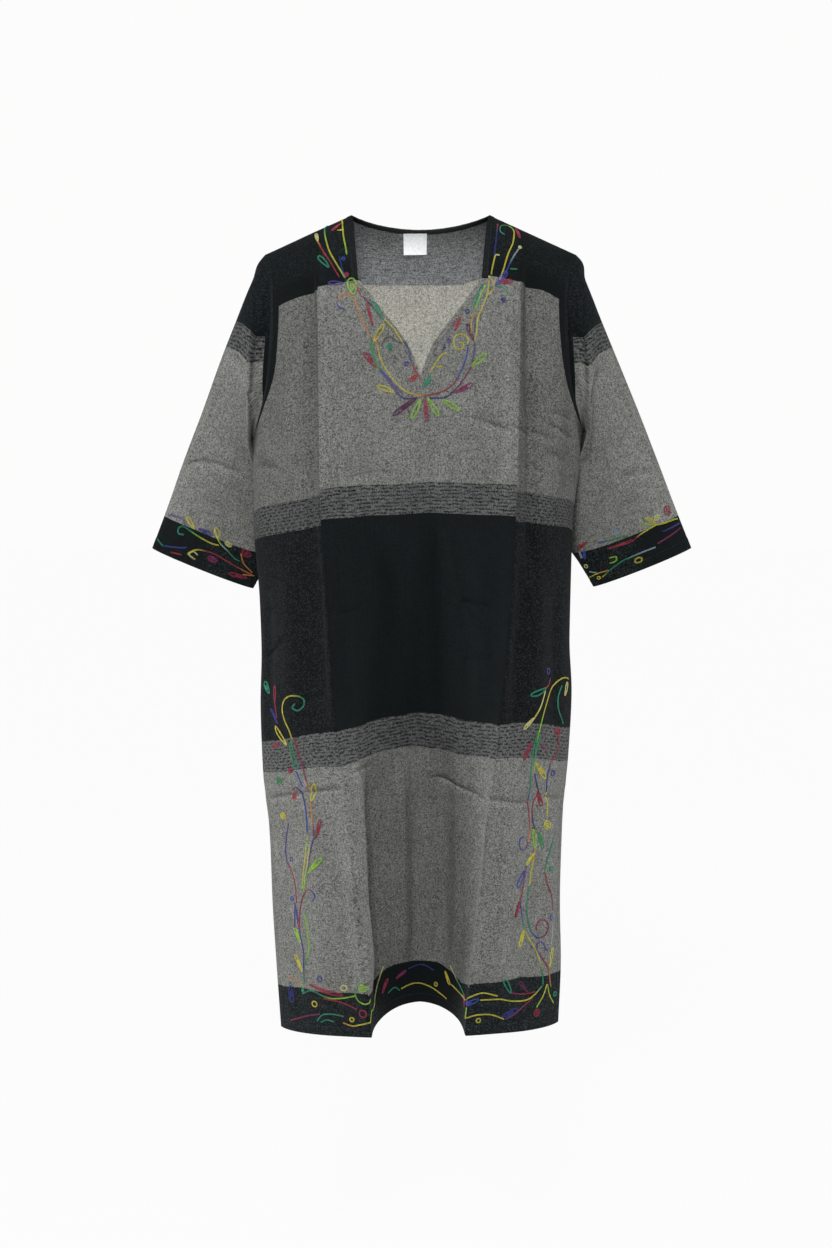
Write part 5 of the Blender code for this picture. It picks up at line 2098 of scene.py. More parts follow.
@dataclass(frozen=True)
class LabelSatin:
    """White woven satin with fine ribs, left blank."""

    name: str = "white_label_satin"

    def build(self) -> bpy.types.Material:
        """Draw the ribs and the soft tone of the satin.

        Returns:
            The material.
        """
        sketch = Sketch(self.name)
        place = sketch.millimetres(sketch.map_place(CLOTH_MAP))
        rib = sketch.wave(sketch.split(place)[1], LABEL_RIB)
        soft = sketch.noise(place, 0.25, 2.0)
        colour = sketch.mix(sketch.spread(soft, 0.3, 0.7), shade(228, 229, 231),
                            shade(244, 245, 246))
        sketch.bump(sketch.plus(soft, sketch.times(rib, 0.15)), 0.4, 0.0003)
        return sketch.finish(colour, 0.55, 0.1, 0.4)


@dataclass(frozen=True)
class Thread:
    """Embroidery cotton whose colour comes from the piece's own colour attribute."""

    name: str
    twist: float = 1.1       # millimetres between the twists

    def build(self) -> bpy.types.Material:
        """Draw the twisted thread, with painted light and shade along its twist.

        Returns:
            The material.
        """
        sketch = Sketch(self.name)
        place = sketch.millimetres(sketch.object_place())
        x, y, z = sketch.split(place)
        ply = sketch.wave(sketch.plus(sketch.math("SUBTRACT", x, z), y), self.twist)
        fuzz = sketch.noise(place, 1.1, 2.0)
        # the ply term is painted light and shade along the twist; the fuzz term is random tone
        tone = sketch.plus(sketch.spread(fuzz, 0.25, 0.75, 0.78, 1.15), sketch.times(ply, 0.06))
        dyed = sketch.toned(sketch.attribute(THREAD_COLOUR, "Color"), tone)
        sketch.bump(ply, 0.3, 0.0002)
        return sketch.finish(dyed, sketch.spread(fuzz, 0, 1, 0.75, 0.6), 0.1, 0.3)


@dataclass(frozen=True)
class StudioFloor:
    """Seamless pale paper that stays bright."""

    name: str = "studio_paper"

    def build(self) -> bpy.types.Material:
        """Draw the paper.

        Returns:
            The material.
        """
        sketch = Sketch(self.name)
        tone = sketch.noise(sketch.object_place(), 0.6, 2.0)
        colour = sketch.mix(sketch.spread(tone, 0.3, 0.7), (0.03, 0.03, 0.03, 1),
                            (0.035, 0.035, 0.035, 1))
        sketch.shader.inputs["Emission Color"].default_value = (1.0, 1.0, 1.0, 1.0)
        sketch.shader.inputs["Emission Strength"].default_value = FLOOR_GLOW
        return sketch.finish(colour, 0.9, 0.0, 0.1)


# ==== Studio ====
@dataclass(frozen=True)
class SoftLight:
    """A large soft lamp.

    Fields: name, place, width, power in watts, the point it is aimed at, and its spread in
    degrees.
    """

    name: str
    place: tuple[float, float, float]
    size: float
    power: float
    aim: tuple[float, float, float] = (0.0, 0.0, -0.5)
    spread: float = 180.0

    def build(self) -> bpy.types.Object:
        """Hang the lamp.

        Returns:
            The lamp.
        """
        data = bpy.data.lights.new(self.name, "AREA")
        data.shape, data.size, data.energy = "DISK", self.size, self.power
        data.spread = math.radians(self.spread)
        lamp = bpy.data.objects.new(self.name, data)
        lamp.location = self.place
        away = np.array(self.place) - np.array(self.aim)
        level = math.atan2(math.hypot(away[0], away[1]), away[2])
        lamp.rotation_euler = Euler((level, 0.0, math.atan2(away[0], -away[1])))
        bpy.context.scene.collection.objects.link(lamp)
        return lamp


@dataclass(frozen=True)
class Studio:
    """Pale floor, white surroundings, soft lamps and the camera.

    Fields: the lamps on the whole garment, and the one that shines into the neck.
    """

    lamps: tuple[SoftLight, ...] = (
        SoftLight("left_softbox", (-2.9, -0.85, -0.75), 0.9, 3.0, (0.0, 0.0, -0.85), 40.0),
        SoftLight("right_softbox", (2.9, -0.75, -0.75), 0.9, 2.5, (0.0, 0.0, -0.85), 40.0),
        SoftLight("front_softbox", (-0.3, -2.2, 1.9), 1.0, 76.0),
    )
    neck_lamp: SoftLight = SoftLight("neck_softbox", (0.0, -2.2, 0.55), 0.5, 50.0,
                                     (0.0, 0.08, -0.10))

    def build(self) -> None:
        """Make everything round the garment."""
        scene = bpy.context.scene
        scene.view_settings.view_transform = "Standard"
        scene.view_settings.look = "None"
        world = bpy.data.worlds.new("white_surroundings")
        world.use_nodes = True
        nodes, links = world.node_tree.nodes, world.node_tree.links
        nodes["Background"].inputs[0].default_value = WORLD_TONE
        links.new(self.seen_or_lit(nodes, links), nodes["Background"].inputs[1])
        scene.world = world
        for lamp in self.lamps:
            lamp.build()
        self.floor()
        self.camera()

    def neck_light(self, receivers: Sequence[bpy.types.Object]) -> None:
        """Light the inside of the back through the neck opening.

        Args:
            receivers: The pieces that the lamp shines on.
        """
        lamp = self.neck_lamp.build()
        lit = bpy.data.collections.new("inside_of_the_neck")
        for piece in receivers:
            lit.objects.link(piece)
        lamp.light_linking.receiver_collection = lit

    def seen_or_lit(self, nodes: bpy.types.Nodes, links: bpy.types.NodeLinks) -> Socket:
        """Strength of the surroundings: white to look at, softer as light.

        Args:
            nodes: Nodes of the surroundings.
            links: Their links.

        Returns:
            The strength.
        """
        path = nodes.new("ShaderNodeLightPath")
        strength = nodes.new("ShaderNodeMapRange")
        strength.inputs["To Min"].default_value = WORLD_LIGHT
        strength.inputs["To Max"].default_value = 1.0
        links.new(path.outputs["Is Camera Ray"], strength.inputs["Value"])
        return strength.outputs[0]

    def floor(self) -> None:
        """Lay the floor."""
        bpy.ops.mesh.primitive_plane_add(size=2 * FLOOR_REACH, location=(0, 0, FLOOR_LEVEL))
        floor = bpy.context.object
        floor.name = "studio_floor"
        floor.data.materials.append(StudioFloor().build())
        floor.visible_diffuse = False        # the glow is for the eye, not a lamp from below

    def camera(self) -> None:
        """Set up the camera."""
        data = bpy.data.cameras.new("front_camera")
        data.lens, data.sensor_width, data.clip_end = CAMERA_LENS, 36.0, 60.0
        camera = bpy.data.objects.new("front_camera", data)
        camera.location = CAMERA_PLACE
        camera.rotation_euler = Euler((math.radians(90 - CAMERA_PITCH), 0.0, 0.0))
        bpy.context.scene.collection.objects.link(camera)
        bpy.context.scene.camera = camera


# ==== Neck binding and label ====
def tube_object(name: str, rings: np.ndarray, closed_ends: bool = True) -> bpy.types.Object:
    """Make a mesh from closed rings of points, one after the other.

    Args:
        name: Name of the object.
        rings: Points as (ring, place in the ring, xyz).
        closed_ends: Whether the first and the last ring are filled.

    Returns:
        The object.
    """
    rows, count = rings.shape[:2]
    row, column = np.meshgrid(np.arange(rows - 1), np.arange(count), indexing="ij")
    start, beside = (row * count + column).ravel(), (row * count + (column + 1) % count).ravel()
    faces = [tuple(face) for face in np.column_stack((start, beside, beside + count,
                                                      start + count))]
    if closed_ends:
        faces.append(tuple(range(count - 1, -1, -1)))
        faces.append(tuple((rows - 1) * count + place for place in range(count)))
    return new_object(name, rings.reshape(-1, 3), faces)


@dataclass(frozen=True)
class NeckBinding:
    """The tape folded over the raw neck edge, from one V corner round the back to the other.

    Fields: steps along it, how unevenly it puckers with the rates of its two waves, and its
    rounded section, as (share of the width, share of half the thickness) from its lower border
    over the outside to the neck edge and back inside.
    """

    side_steps: int = 44
    back_steps: int = 110
    pucker: float = 0.02
    pucker_rates: tuple[float, float] = (1.9, 0.83)
    section: tuple[tuple[float, float], ...] = (
        (1.0, 0.50), (0.97, 0.86), (0.88, 0.95), (0.80, 0.74), (0.73, 0.96), (0.50, 1.06),
        (0.24, 1.0), (0.07, 0.78), (0.0, 0.28), (0.0, -0.28), (0.07, -0.78), (0.24, -1.0),
        (0.50, -1.0), (0.73, -0.95), (0.80, -0.80), (0.88, -0.95), (0.97, -0.86), (1.0, -0.50))

    def build(self, finish: bpy.types.Material) -> bpy.types.Object:
        """Make the tape.

        Args:
            finish: Its material.

        Returns:
            The finished piece.
        """
        rows = binding_rows(self.side_steps, self.back_steps)
        faces = np.array([row[0] for row in rows])
        edge, inner = (np.array([row[part] for row in rows]) for part in (1, 2))
        rings = np.empty((len(rows), len(self.section), 3))
        for place, (share, height) in enumerate(self.section):
            flat = edge + (inner - edge) * share
            for face in Face:
                chosen = faces == face
                lift = height * BINDING_WALL / 2 - CLOTH_WALL / 2
                rings[chosen, place] = BodySurface(face).read(flat[chosen], lift)[0]
        pucker = sum(np.sin(np.arange(len(rows)) * rate) for rate in self.pucker_rates)
        middle = rings.mean(axis=1, keepdims=True)
        rings = middle + (rings - middle) * (1 + self.pucker * pucker)[:, None, None]
        tape = tube_object("neck_binding_tape", rings)
        tape.data.materials.append(finish)
        return tape


@dataclass(frozen=True)
class BlankLabel:
    """The blank white label that hangs from the binding inside the back.

    Fields: mesh columns and rows, how far its free end stands off the cloth at the left and
    the right, how high it sits under the binding, its gap to the cloth and its ripple.
    """

    columns: int = 22
    rows: int = 24
    stand_off: tuple[float, float] = (0.0026, 0.0011)
    tuck: float = 0.0016
    gap: float = 0.0001
    ripple: float = 0.0005

    def build(self, finish: bpy.types.Material) -> bpy.types.Object:
        """Make the label.

        Args:
            finish: Its material.

        Returns:
            The finished piece.
        """
        column, row = np.meshgrid(np.linspace(-0.5, 0.5, self.columns + 1),
                                  np.linspace(0, 1, self.rows + 1))
        column, row = column.ravel(), row.ravel()
        top = BACK_NECK_DROP + BINDING_WIDTH - self.tuck
        flat = np.column_stack((LABEL_CENTRE + LABEL_WIDTH * column, top + LABEL_HEIGHT * row))
        left, right = self.stand_off
        curl = (left + (right - left) * (column + 0.5)) * row ** 1.6
        curl += self.ripple * np.sin(column * 5.0 + 0.6) * row * (1 - 0.5 * row)
        lift = np.maximum(curl, 0) + self.gap + LABEL_WALL / 2
        surface = BodySurface(Face.BACK)
        points, normals = surface.read(flat, 0.0)
        middle = points - normals * (CLOTH_WALL + lift)[:, None]
        start = (np.arange(self.rows)[:, None] * (self.columns + 1)
                 + np.arange(self.columns)).ravel()
        below = start + self.columns + 1
        triangles = np.vstack((np.column_stack((start, start + 1, below + 1)),
                               np.column_stack((start, below + 1, below))))
        sheet = Sheet("label_cloth", middle, middle, triangles, flat[triangles],
                      np.zeros(len(middle)), np.ones(len(middle)), LABEL_WALL / 2)
        facing = shared_normals([sheet], [middle])[0]
        return shell(sheet, facing, facing, finish, finish)


# ==== Thread: chain stitch and running stitch ====
class Dye(Enum):
    """Colours of the thread, each with the letter that the charts use."""

    YELLOW = ("y", shade(214, 205, 66))
    PALE = ("p", shade(216, 214, 140))
    LIME = ("l", shade(158, 212, 60))
    GREEN = ("g", shade(56, 148, 88))
    TEAL = ("t", shade(44, 150, 116))
    BLUE = ("b", shade(54, 78, 172))
    NAVY = ("n", shade(48, 52, 132))
    VIOLET = ("v", shade(84, 70, 150))
    PLUM = ("u", shade(96, 32, 78))
    MAGENTA = ("m", shade(142, 42, 98))
    CRIMSON = ("c", shade(156, 44, 68))
    RED = ("r", shade(176, 58, 66))
    ORANGE = ("o", shade(216, 142, 76))
    SILVER = ("s", shade(160, 178, 190))
    SOOT = ("k", shade(34, 37, 39))
    ASH = ("a", shade(96, 97, 95))


DYES = {dye.value[0]: dye.value[1][:3] for dye in Dye}


class Motif(NamedTuple):
    """One drawn mark of a chart: its thread, dye by dye, and the lines that it follows, in mm."""

    dyes: str
    lines: tuple[np.ndarray, ...]


def stem(dyes: str, *path: tuple[float, float]) -> Motif:
    """A smooth line through the given points."""
    return Motif(dyes, (curve_through(path, 8),))


def ring(dye: str, centre: tuple[float, float], size: float, filled: bool = False) -> Motif:
    """A small ring, or a disc worked from the outside inwards.

    Args:
        dye: Letter of the dye.
        centre: Its centre.
        size: Its width over all.
        filled: Whether it is a disc.

    Returns:
        The motif.
    """
    angle = np.linspace(RING_START, 2 * math.pi + RING_START, RING_POINTS)
    circle = np.column_stack((np.cos(angle), np.sin(angle))) * (size - THREAD_WIDTH) / 2
    sizes = RING_FILLING if filled else (1.0,)
    return Motif(dye, tuple(circle * share + centre for share in sizes))


def leaf(dye: str, foot: tuple[float, float], tip: tuple[float, float], width: float,
         filled: bool = True) -> Motif:
    """A leaf from its foot to its tip, worked round its edge and, if filled, inside it.

    Args:
        dye: Letter of the dye.
        foot: Where it begins.
        tip: Where it ends.
        width: Its greatest width.
        filled: Whether it is worked inside.

    Returns:
        The motif.
    """
    foot, tip = np.array(foot, dtype=float), np.array(tip, dtype=float)
    way = tip - foot
    beside = np.array((-way[1], way[0])) / np.linalg.norm(way)
    angle = np.linspace(0, 2 * math.pi, LEAF_POINTS)
    along, half = (1 - np.cos(angle)) / 2, np.sin(angle) * (width - THREAD_WIDTH) / 2
    half *= LEAF_BELLY[0] + LEAF_BELLY[1] * along
    sizes = LEAF_FILLING if filled else (1.0,)
    middle = foot + way / 2
    edge = foot + along[:, None] * way + half[:, None] * beside
    return Motif(dye, tuple(middle + (edge - middle) * share for share in sizes))


class StrandRing(NamedTuple):
    """One ring of a strand: share of its length, sideways share, height and radius in mm."""

    share: float
    aside: float
    lift: float
    radius: float


@dataclass(frozen=True)
class Stitch:
    """A stitch that repeats along a line.

    Fields: distance from stitch to stitch, its own length, how far its strands bow sideways, the
    sides on which a strand runs, and the rings of a strand, all in millimetres.
    """

    pitch: float
    length: float
    bow: float
    sides: tuple[int, ...]
    rings: tuple[StrandRing, ...]


CHAIN_STITCH = Stitch(3.0, 3.7, 0.68, (-1, 1), (
    StrandRing(0.0, 0.10, 0.10, 0.22), StrandRing(0.26, 0.82, 0.34, 0.35),
    StrandRing(0.58, 1.00, 0.38, 0.37), StrandRing(0.86, 0.60, 0.32, 0.35),
    StrandRing(1.0, 0.08, 0.10, 0.24)))
RUNNING_STITCH = Stitch(3.0, 2.3, 0.0, (0,), (
    StrandRing(0.0, 0.0, -0.16, 0.14), StrandRing(0.2, 0.0, 0.16, 0.25),
    StrandRing(0.8, 0.0, 0.16, 0.25), StrandRing(1.0, 0.0, -0.16, 0.14)))


@dataclass
class ThreadWork:
    """Stitches on one surface, gathered into a single piece.

    Fields: the piece's name, the surface, the stitch, the millimetres of the chart for one unit
    of the surface's flat points with the chart's origin, and a height above the cloth.
    """

    name: str
    surface: ClothSurface
    stitch: Stitch
    unit: tuple[float, float] = (1 / MM, 1 / MM)
    origin: tuple[float, float] = (0.0, 0.0)
    lift: float = 0.0
    places: list[np.ndarray] = field(default_factory=list)
    colours: list[np.ndarray] = field(default_factory=list)

    def work(self, motifs: Iterable[Motif]) -> ThreadWork:
        """Work every line of a chart and give the piece back.

        Args:
            motifs: The chart.

        Returns:
            The piece itself.
        """
        for motif in motifs:
            for line in motif.lines:
                self.lay(line, motif.dyes)
        return self

    def lay(self, line: np.ndarray, dyes: str) -> None:
        """Work stitches along one line.

        Args:
            line: Points of the chart, close together, in millimetres.
            dyes: Letters of the dyes along the line.
        """
        reach = np.concatenate(([0], np.cumsum(np.linalg.norm(np.diff(line, axis=0), axis=1))))
        count = max(1, round(reach[-1] / self.stitch.pitch))
        step = reach[-1] / count
        rings = self.stitch.rings
        share = np.array([ring_row.share for ring_row in rings])
        reached = share * self.stitch.length * step / self.stitch.pitch
        at = np.arange(count)[:, None] * step + reached
        at = np.minimum(at, reach[-1])
        points = np.stack([np.interp(at, reach, line[:, axis]) for axis in (0, 1)], axis=-1)
        heading = np.gradient(line, axis=0)
        way = np.stack([np.interp(at, reach, heading[:, axis]) for axis in (0, 1)], axis=-1)
        way /= np.maximum(np.linalg.norm(way, axis=-1, keepdims=True), NEARLY_ZERO)
        beside = np.stack((-way[..., 1], way[..., 0]), axis=-1)
        aside = np.array([ring_row.aside for ring_row in rings]) * self.stitch.bow
        dye_table = np.array([DYES[letter] for letter in dyes])
        along = np.linspace(0, len(dyes) - 1, count) if len(dyes) > 1 else np.zeros(count)
        colour = np.column_stack([np.interp(along, np.arange(len(dyes)), dye_table[:, channel])
                                  for channel in range(3)])
        for side in self.stitch.sides:
            self.places.append(points + beside * (aside * side)[:, None])
            self.colours.append(colour)

    def build(self, finish: bpy.types.Material) -> bpy.types.Object:
        """Turn the strands into small tubes on the surface.

        Args:
            finish: The thread's material.

        Returns:
            The finished piece.
        """
        chart = np.concatenate(self.places)
        strands, count = chart.shape[:2]
        flat = (chart.reshape(-1, 2) / self.unit + self.origin)
        middle, normals = self.surface.read(flat, self.lift)
        rings = self.stitch.rings
        lift = np.tile([ring_row.lift for ring_row in rings], strands) * MM
        middle = (middle + normals * lift[:, None]).reshape(strands, count, 3)
        normals = normals.reshape(strands, count, 3)
        way = np.gradient(middle, axis=1)
        side = np.cross(way, normals)
        side /= np.maximum(np.linalg.norm(side, axis=-1, keepdims=True), NEARLY_ZERO)
        up = np.cross(side, way)
        up /= np.maximum(np.linalg.norm(up, axis=-1, keepdims=True), NEARLY_ZERO)
        radius = np.array([ring_row.radius for ring_row in rings]) * MM
        angle = (np.arange(STRAND_SIDES) + 0.5) * 2 * math.pi / STRAND_SIDES
        turn = (np.cos(angle)[:, None] * side[:, :, None] + np.sin(angle)[:, None] * up[:, :, None])
        vertices = middle[:, :, None] + turn * radius[:, None, None]
        strand, row, corner = np.meshgrid(np.arange(strands), np.arange(count - 1),
                                          np.arange(STRAND_SIDES), indexing="ij")
        start = ((strand * count + row) * STRAND_SIDES).ravel()
        corner = corner.ravel()
        beside = (corner + 1) % STRAND_SIDES
        faces = np.column_stack((start + corner, start + STRAND_SIDES + corner,
                                 start + STRAND_SIDES + beside, start + beside))
        first = np.arange(strands)[:, None] * count * STRAND_SIDES
        last = first + (count - 1) * STRAND_SIDES
        caps = np.vstack((first + np.arange(STRAND_SIDES),
                          last + np.arange(STRAND_SIDES)[::-1]))
        made = new_object(self.name, vertices.reshape(-1, 3), np.vstack((faces, caps)))
        shades = np.random.default_rng(len(chart)).normal(1.0, DYE_UNEVENNESS, (strands, 1))
        colour = np.clip(np.concatenate(self.colours) * shades, 0, 1)
        colour = np.column_stack((colour, np.ones(strands)))
        layer = made.data.color_attributes.new(THREAD_COLOUR, "FLOAT_COLOR", "POINT")
        layer.data.foreach_set("color", np.repeat(colour, count * STRAND_SIDES, axis=0)
                               .astype(np.float32).ravel())
        made.data.materials.append(finish)
        return made


# ---- charts of the embroidery: across and down the front, in millimetres -----------------------
NECK_CHART = (
    # left shoulder
    stem("yyl", (-106, 13), (-103, 30), (-100, 64), (-97, 82), (-95, 95)),
    stem("y", (-109, 52), (-101, 54)), ring("b", (-99, 101), 6),
    leaf("r", (-105, 35), (-116, 50), 6),
    stem("ttlyyl", (-125, 17), (-127, 32), (-126, 50), (-122, 72), (-115, 94), (-97, 126)),
    leaf("p", (-134, 68), (-139, 46), 6), stem("orrc", (-134, 68), (-126, 87), (-116, 104)),
    stem("cc", (-116, 104), (-104, 125)), leaf("t", (-117, 112), (-131, 95), 8, False),
    stem("nn", (-104, 99), (-100, 116), (-95, 130)), ring("c", (-95, 122), 7, True),
    leaf("l", (-86, 147), (-90, 127), 14), leaf("v", (-99, 133), (-117, 132), 7, False),
    # left of the opening
    stem("oooooo", (-70, 190), (-73, 186), (-80, 168), (-86, 153), (-94, 146), (-101, 147),
         (-105, 153)),
    stem("vb", (-107, 155), (-105, 162), (-98, 165)),
    stem("rr", (-84, 134), (-81, 141), (-77, 150)),
    stem("uum", (-75, 150), (-66, 160), (-52, 176)), leaf("c", (-63, 187), (-70, 158), 5),
    leaf("t", (-50, 178), (-64, 156), 8), stem("yyyy", (-48, 179), (-35, 192), (-23, 211)),
    leaf("y", (-61, 207), (-49, 186), 8, False),
    stem("oggg", (-70, 190), (-65, 207), (-61, 221), (-57, 236), (-53, 244)),
    stem("gtt", (-67, 208), (-63, 224), (-58, 241)),
    stem("bvvnn", (-53, 244), (-42, 259), (-35, 268), (-23, 280), (-9, 280)),
    stem("bvv", (-49, 246), (-36, 262), (-24, 274)),
    stem("oyyyyo", (-61, 200), (-56, 216), (-53, 229), (-46, 242), (-37, 255), (-23, 269),
         (-10, 275), (5, 277)),
    ring("t", (-41, 214), 9, True), stem("aa", (-52, 213), (-47, 204), (-39, 202), (-31, 208)),
    stem("nnvv", (-29, 209), (-22, 209), (-17, 217), (-14, 229), (-12, 235)),
    ring("v", (-19, 236), 7), stem("crr", (-12, 236), (-5, 248), (0, 256)),
    leaf("r", (-6, 251), (-14, 258), 8), leaf("c", (-58, 240), (-74, 221), 8),
    leaf("y", (-35, 272), (-57, 264), 8, False),
    # the fan under the opening
    leaf("u", (-5, 279), (-37, 302), 8), leaf("l", (0, 282), (-12, 306), 8, False),
    leaf("c", (6, 281), (9, 310), 7), leaf("l", (10, 280), (25, 303), 8, False),
    leaf("l", (30, 282), (53, 295), 8, False),
    # right of the opening
    stem("rrrcm", (5, 277), (17, 275), (31, 271), (43, 263), (50, 254)),
    stem("bbbn", (50, 254), (57, 240), (62, 225), (64, 211)),
    stem("nnumnn", (12, 280), (33, 279), (46, 270), (60, 253), (69, 236), (72, 215), (72, 206)),
    stem("yyyyyy", (63, 212), (64, 204), (57, 198), (48, 200), (45, 209), (49, 217), (57, 216),
         (58, 210), (53, 208)),
    leaf("u", (71, 206), (62, 185), 7), leaf("m", (47, 273), (70, 261), 8),
    leaf("l", (68, 239), (87, 223), 8, False),
    stem("yyyyy", (72, 208), (75, 194), (77, 176), (88, 148), (90, 130)),
    stem("yoyl", (68, 198), (69, 178), (78, 153), (86, 136)), stem("va", (72, 196), (73, 176)),
    leaf("t", (70, 171), (82, 137), 8), stem("tt", (5, 262), (14, 251)),
    leaf("t", (4, 266), (14, 253), 7),
    stem("yyyy", (13, 248), (21, 235), (29, 225), (36, 222)), stem("y", (22, 240), (30, 239)),
    ring("v", (38, 206), 7), stem("n", (34, 211), (30, 219)), leaf("r", (46, 193), (54, 177), 5),
    ring("n", (63, 169), 7),
    # right shoulder
    stem("rnnn", (102, 38), (100, 66), (97, 97)), stem("ttgg", (111, 61), (105, 55), (107, 41),
                                                      (117, 33)),
    stem("lyyyy", (117, 33), (124, 45), (122, 73), (115, 93), (109, 114), (104, 129)),
    stem("pyyy", (104, 96), (99, 96), (96, 106), (93, 122)),
    stem("ssbbv", (130, 82), (120, 100), (112, 118), (103, 133)), ring("p", (131, 80), 6, True),
    stem("g", (117, 114), (126, 114)), leaf("c", (132, 61), (128, 38), 6),
    leaf("v", (99, 136), (113, 118), 9), leaf("c", (105, 132), (120, 130), 8),
    stem("tttg", (90, 140), (99, 137), (109, 139), (114, 149)), ring("n", (108, 154), 7, True),
    stem("yoy", (90, 124), (97, 136), (91, 147)),
)
LEFT_VINE_CHART = (
    stem("tttgyyyyyyy", (-184, 668), (-188, 673), (-181, 678), (-174, 673), (-173, 665),
         (-180, 659), (-191, 657), (-203, 662), (-208, 674), (-204, 688), (-197, 702),
         (-194, 714)),
    leaf("t", (-242, 646), (-251, 628), 9), leaf("c", (-225, 661), (-225, 639), 9, False),
    stem("cm", (-225, 661), (-221, 683)), leaf("n", (-219, 691), (-240, 668), 6),
    leaf("y", (-205, 722), (-227, 694), 9, False), leaf("c", (-219, 719), (-235, 722), 8),
    stem("gtt", (-196, 716), (-194, 735), (-190, 756)), stem("tgt", (-200, 722), (-197, 756)),
    stem("ccmmo", (-190, 713), (-187, 739), (-183, 757), (-180, 777), (-176, 788)),
    stem("bb", (-195, 759), (-191, 770), (-187, 781)), ring("c", (-204, 758), 8, True),
    ring("g", (-227, 770), 11, True), leaf("y", (-177, 802), (-170, 779), 9, False),
    ring("r", (-205, 794), 9, True),
    stem("cnnbbbby", (-207, 785), (-198, 782), (-191, 791), (-187, 806), (-187, 830), (-189, 855)),
    stem("lyyl", (-190, 857), (-196, 880), (-203, 905), (-207, 925)),
    stem("yyll", (-186, 866), (-192, 888), (-200, 910), (-205, 930)),
    stem("oon", (-178, 803), (-178, 825), (-178, 850)), stem("vvv", (-178, 851), (-186, 872),
                                                             (-194, 899)),
    leaf("c", (-176, 853), (-168, 828), 6), ring("y", (-232, 820), 11), ring("y", (-232, 820), 6),
    stem("vvvv", (-223, 831), (-232, 849), (-237, 868), (-236, 886)), ring("v", (-227, 884), 8),
    stem("mrrr", (-236, 888), (-226, 905), (-221, 925), (-222, 946)),
    leaf("l", (-193, 902), (-171, 882), 8), ring("b", (-232, 941), 8),
    stem("bnn", (-226, 946), (-229, 966), (-232, 987)), leaf("l", (-222, 1004), (-232, 984), 9),
    stem("mccccrbb", (-221, 986), (-215, 957), (-206, 935), (-196, 926), (-188, 929), (-185, 936),
         (-190, 942)),
    leaf("v", (-221, 974), (-226, 952), 6), stem("mm", (-224, 972), (-221, 985)),
    stem("vvng", (-221, 986), (-219, 1002), (-217, 1019), (-220, 1038), (-223, 1064)),
    stem("lllg", (-208, 960), (-205, 986), (-206, 1012), (-217, 1036)),
    leaf("y", (-225, 1047), (-237, 1023), 8), stem("ooy", (-250, 1055), (-238, 1062), (-226, 1067)),
)
RIGHT_VINE_CHART = (
    ring("v", (201, 632), 10), stem("vrr", (208, 641), (203, 650), (195, 655)),
    leaf("t", (195, 655), (170, 665), 9, False), stem("ppy", (194, 658), (187, 677), (177, 696)),
    leaf("p", (177, 695), (165, 711), 6),
    stem("yyyyyllgt", (252, 640), (240, 639), (227, 643), (209, 659), (198, 679), (192, 697),
         (189, 716), (188, 733), (189, 750)),
    leaf("p", (240, 664), (247, 645), 8, False), stem("ttt", (232, 650), (226, 666), (228, 684),
                                                      (240, 703)),
    ring("c", (229, 714), 12), ring("c", (229, 714), 6), stem("cccr", (231, 722), (233, 735),
                                                             (226, 748), (219, 759)),
    leaf("c", (179, 729), (171, 753), 7), ring("m", (203, 737), 6, True),
    stem("gttttb", (186, 714), (184, 740), (185, 767), (188, 792), (188, 809)),
    stem("tgl", (193, 718), (189, 742), (190, 768)), ring("n", (227, 772), 10),
    stem("nnn", (219, 760), (216, 777), (219, 797)),
    stem("yyy", (219, 799), (224, 815), (226, 832)),
    ring("y", (227, 844), 13), ring("y", (227, 844), 7), leaf("y", (192, 758), (213, 779), 9),
    stem("nk", (192, 772), (199, 788), (208, 802)), leaf("c", (203, 797), (214, 817), 8),
    stem("crmnk", (208, 800), (201, 805), (199, 818), (203, 838), (209, 855)),
    stem("ccrroo", (188, 811), (195, 832), (200, 852), (199, 868)),
    stem("mvvvbb", (199, 868), (194, 877), (185, 877), (180, 869), (182, 861), (189, 861)),
    leaf("l", (210, 877), (206, 850), 6, False), leaf("g", (213, 853), (223, 877), 8),
    stem("ttg", (240, 860), (235, 880), (230, 898), (229, 911)),
    stem("oyyy", (210, 878), (209, 892), (207, 912), (206, 929)),
    leaf("y", (209, 884), (199, 901), 5),
    leaf("b", (195, 908), (184, 930), 10, False), stem("vmcc", (199, 901), (196, 920), (194, 938),
                                                       (191, 950)),
    ring("t", (240, 906), 10), stem("rccm", (229, 911), (235, 930), (246, 950), (250, 967)),
    leaf("c", (190, 950), (185, 972), 6), ring("b", (246, 976), 10),
    stem("nbtyyygt", (191, 950), (199, 977), (208, 1000), (221, 1019), (228, 1033), (234, 1052),
         (238, 1072)),
    stem("tttb", (206, 930), (205, 948), (206, 968), (213, 993), (223, 1004)),
    stem("umcccc", (223, 1004), (234, 1002), (240, 990), (236, 981), (227, 979), (221, 986),
         (222, 993)),
    leaf("y", (203, 993), (198, 1016), 8), stem("vvvb", (223, 1020), (225, 1012), (232, 1011),
                                                (239, 1023)),
    stem("vmroo", (223, 1020), (233, 1034), (244, 1050), (256, 1079)),
    leaf("y", (247, 1049), (255, 1022), 9, False), stem("ss", (250, 984), (252, 1002), (248, 1018)),
)
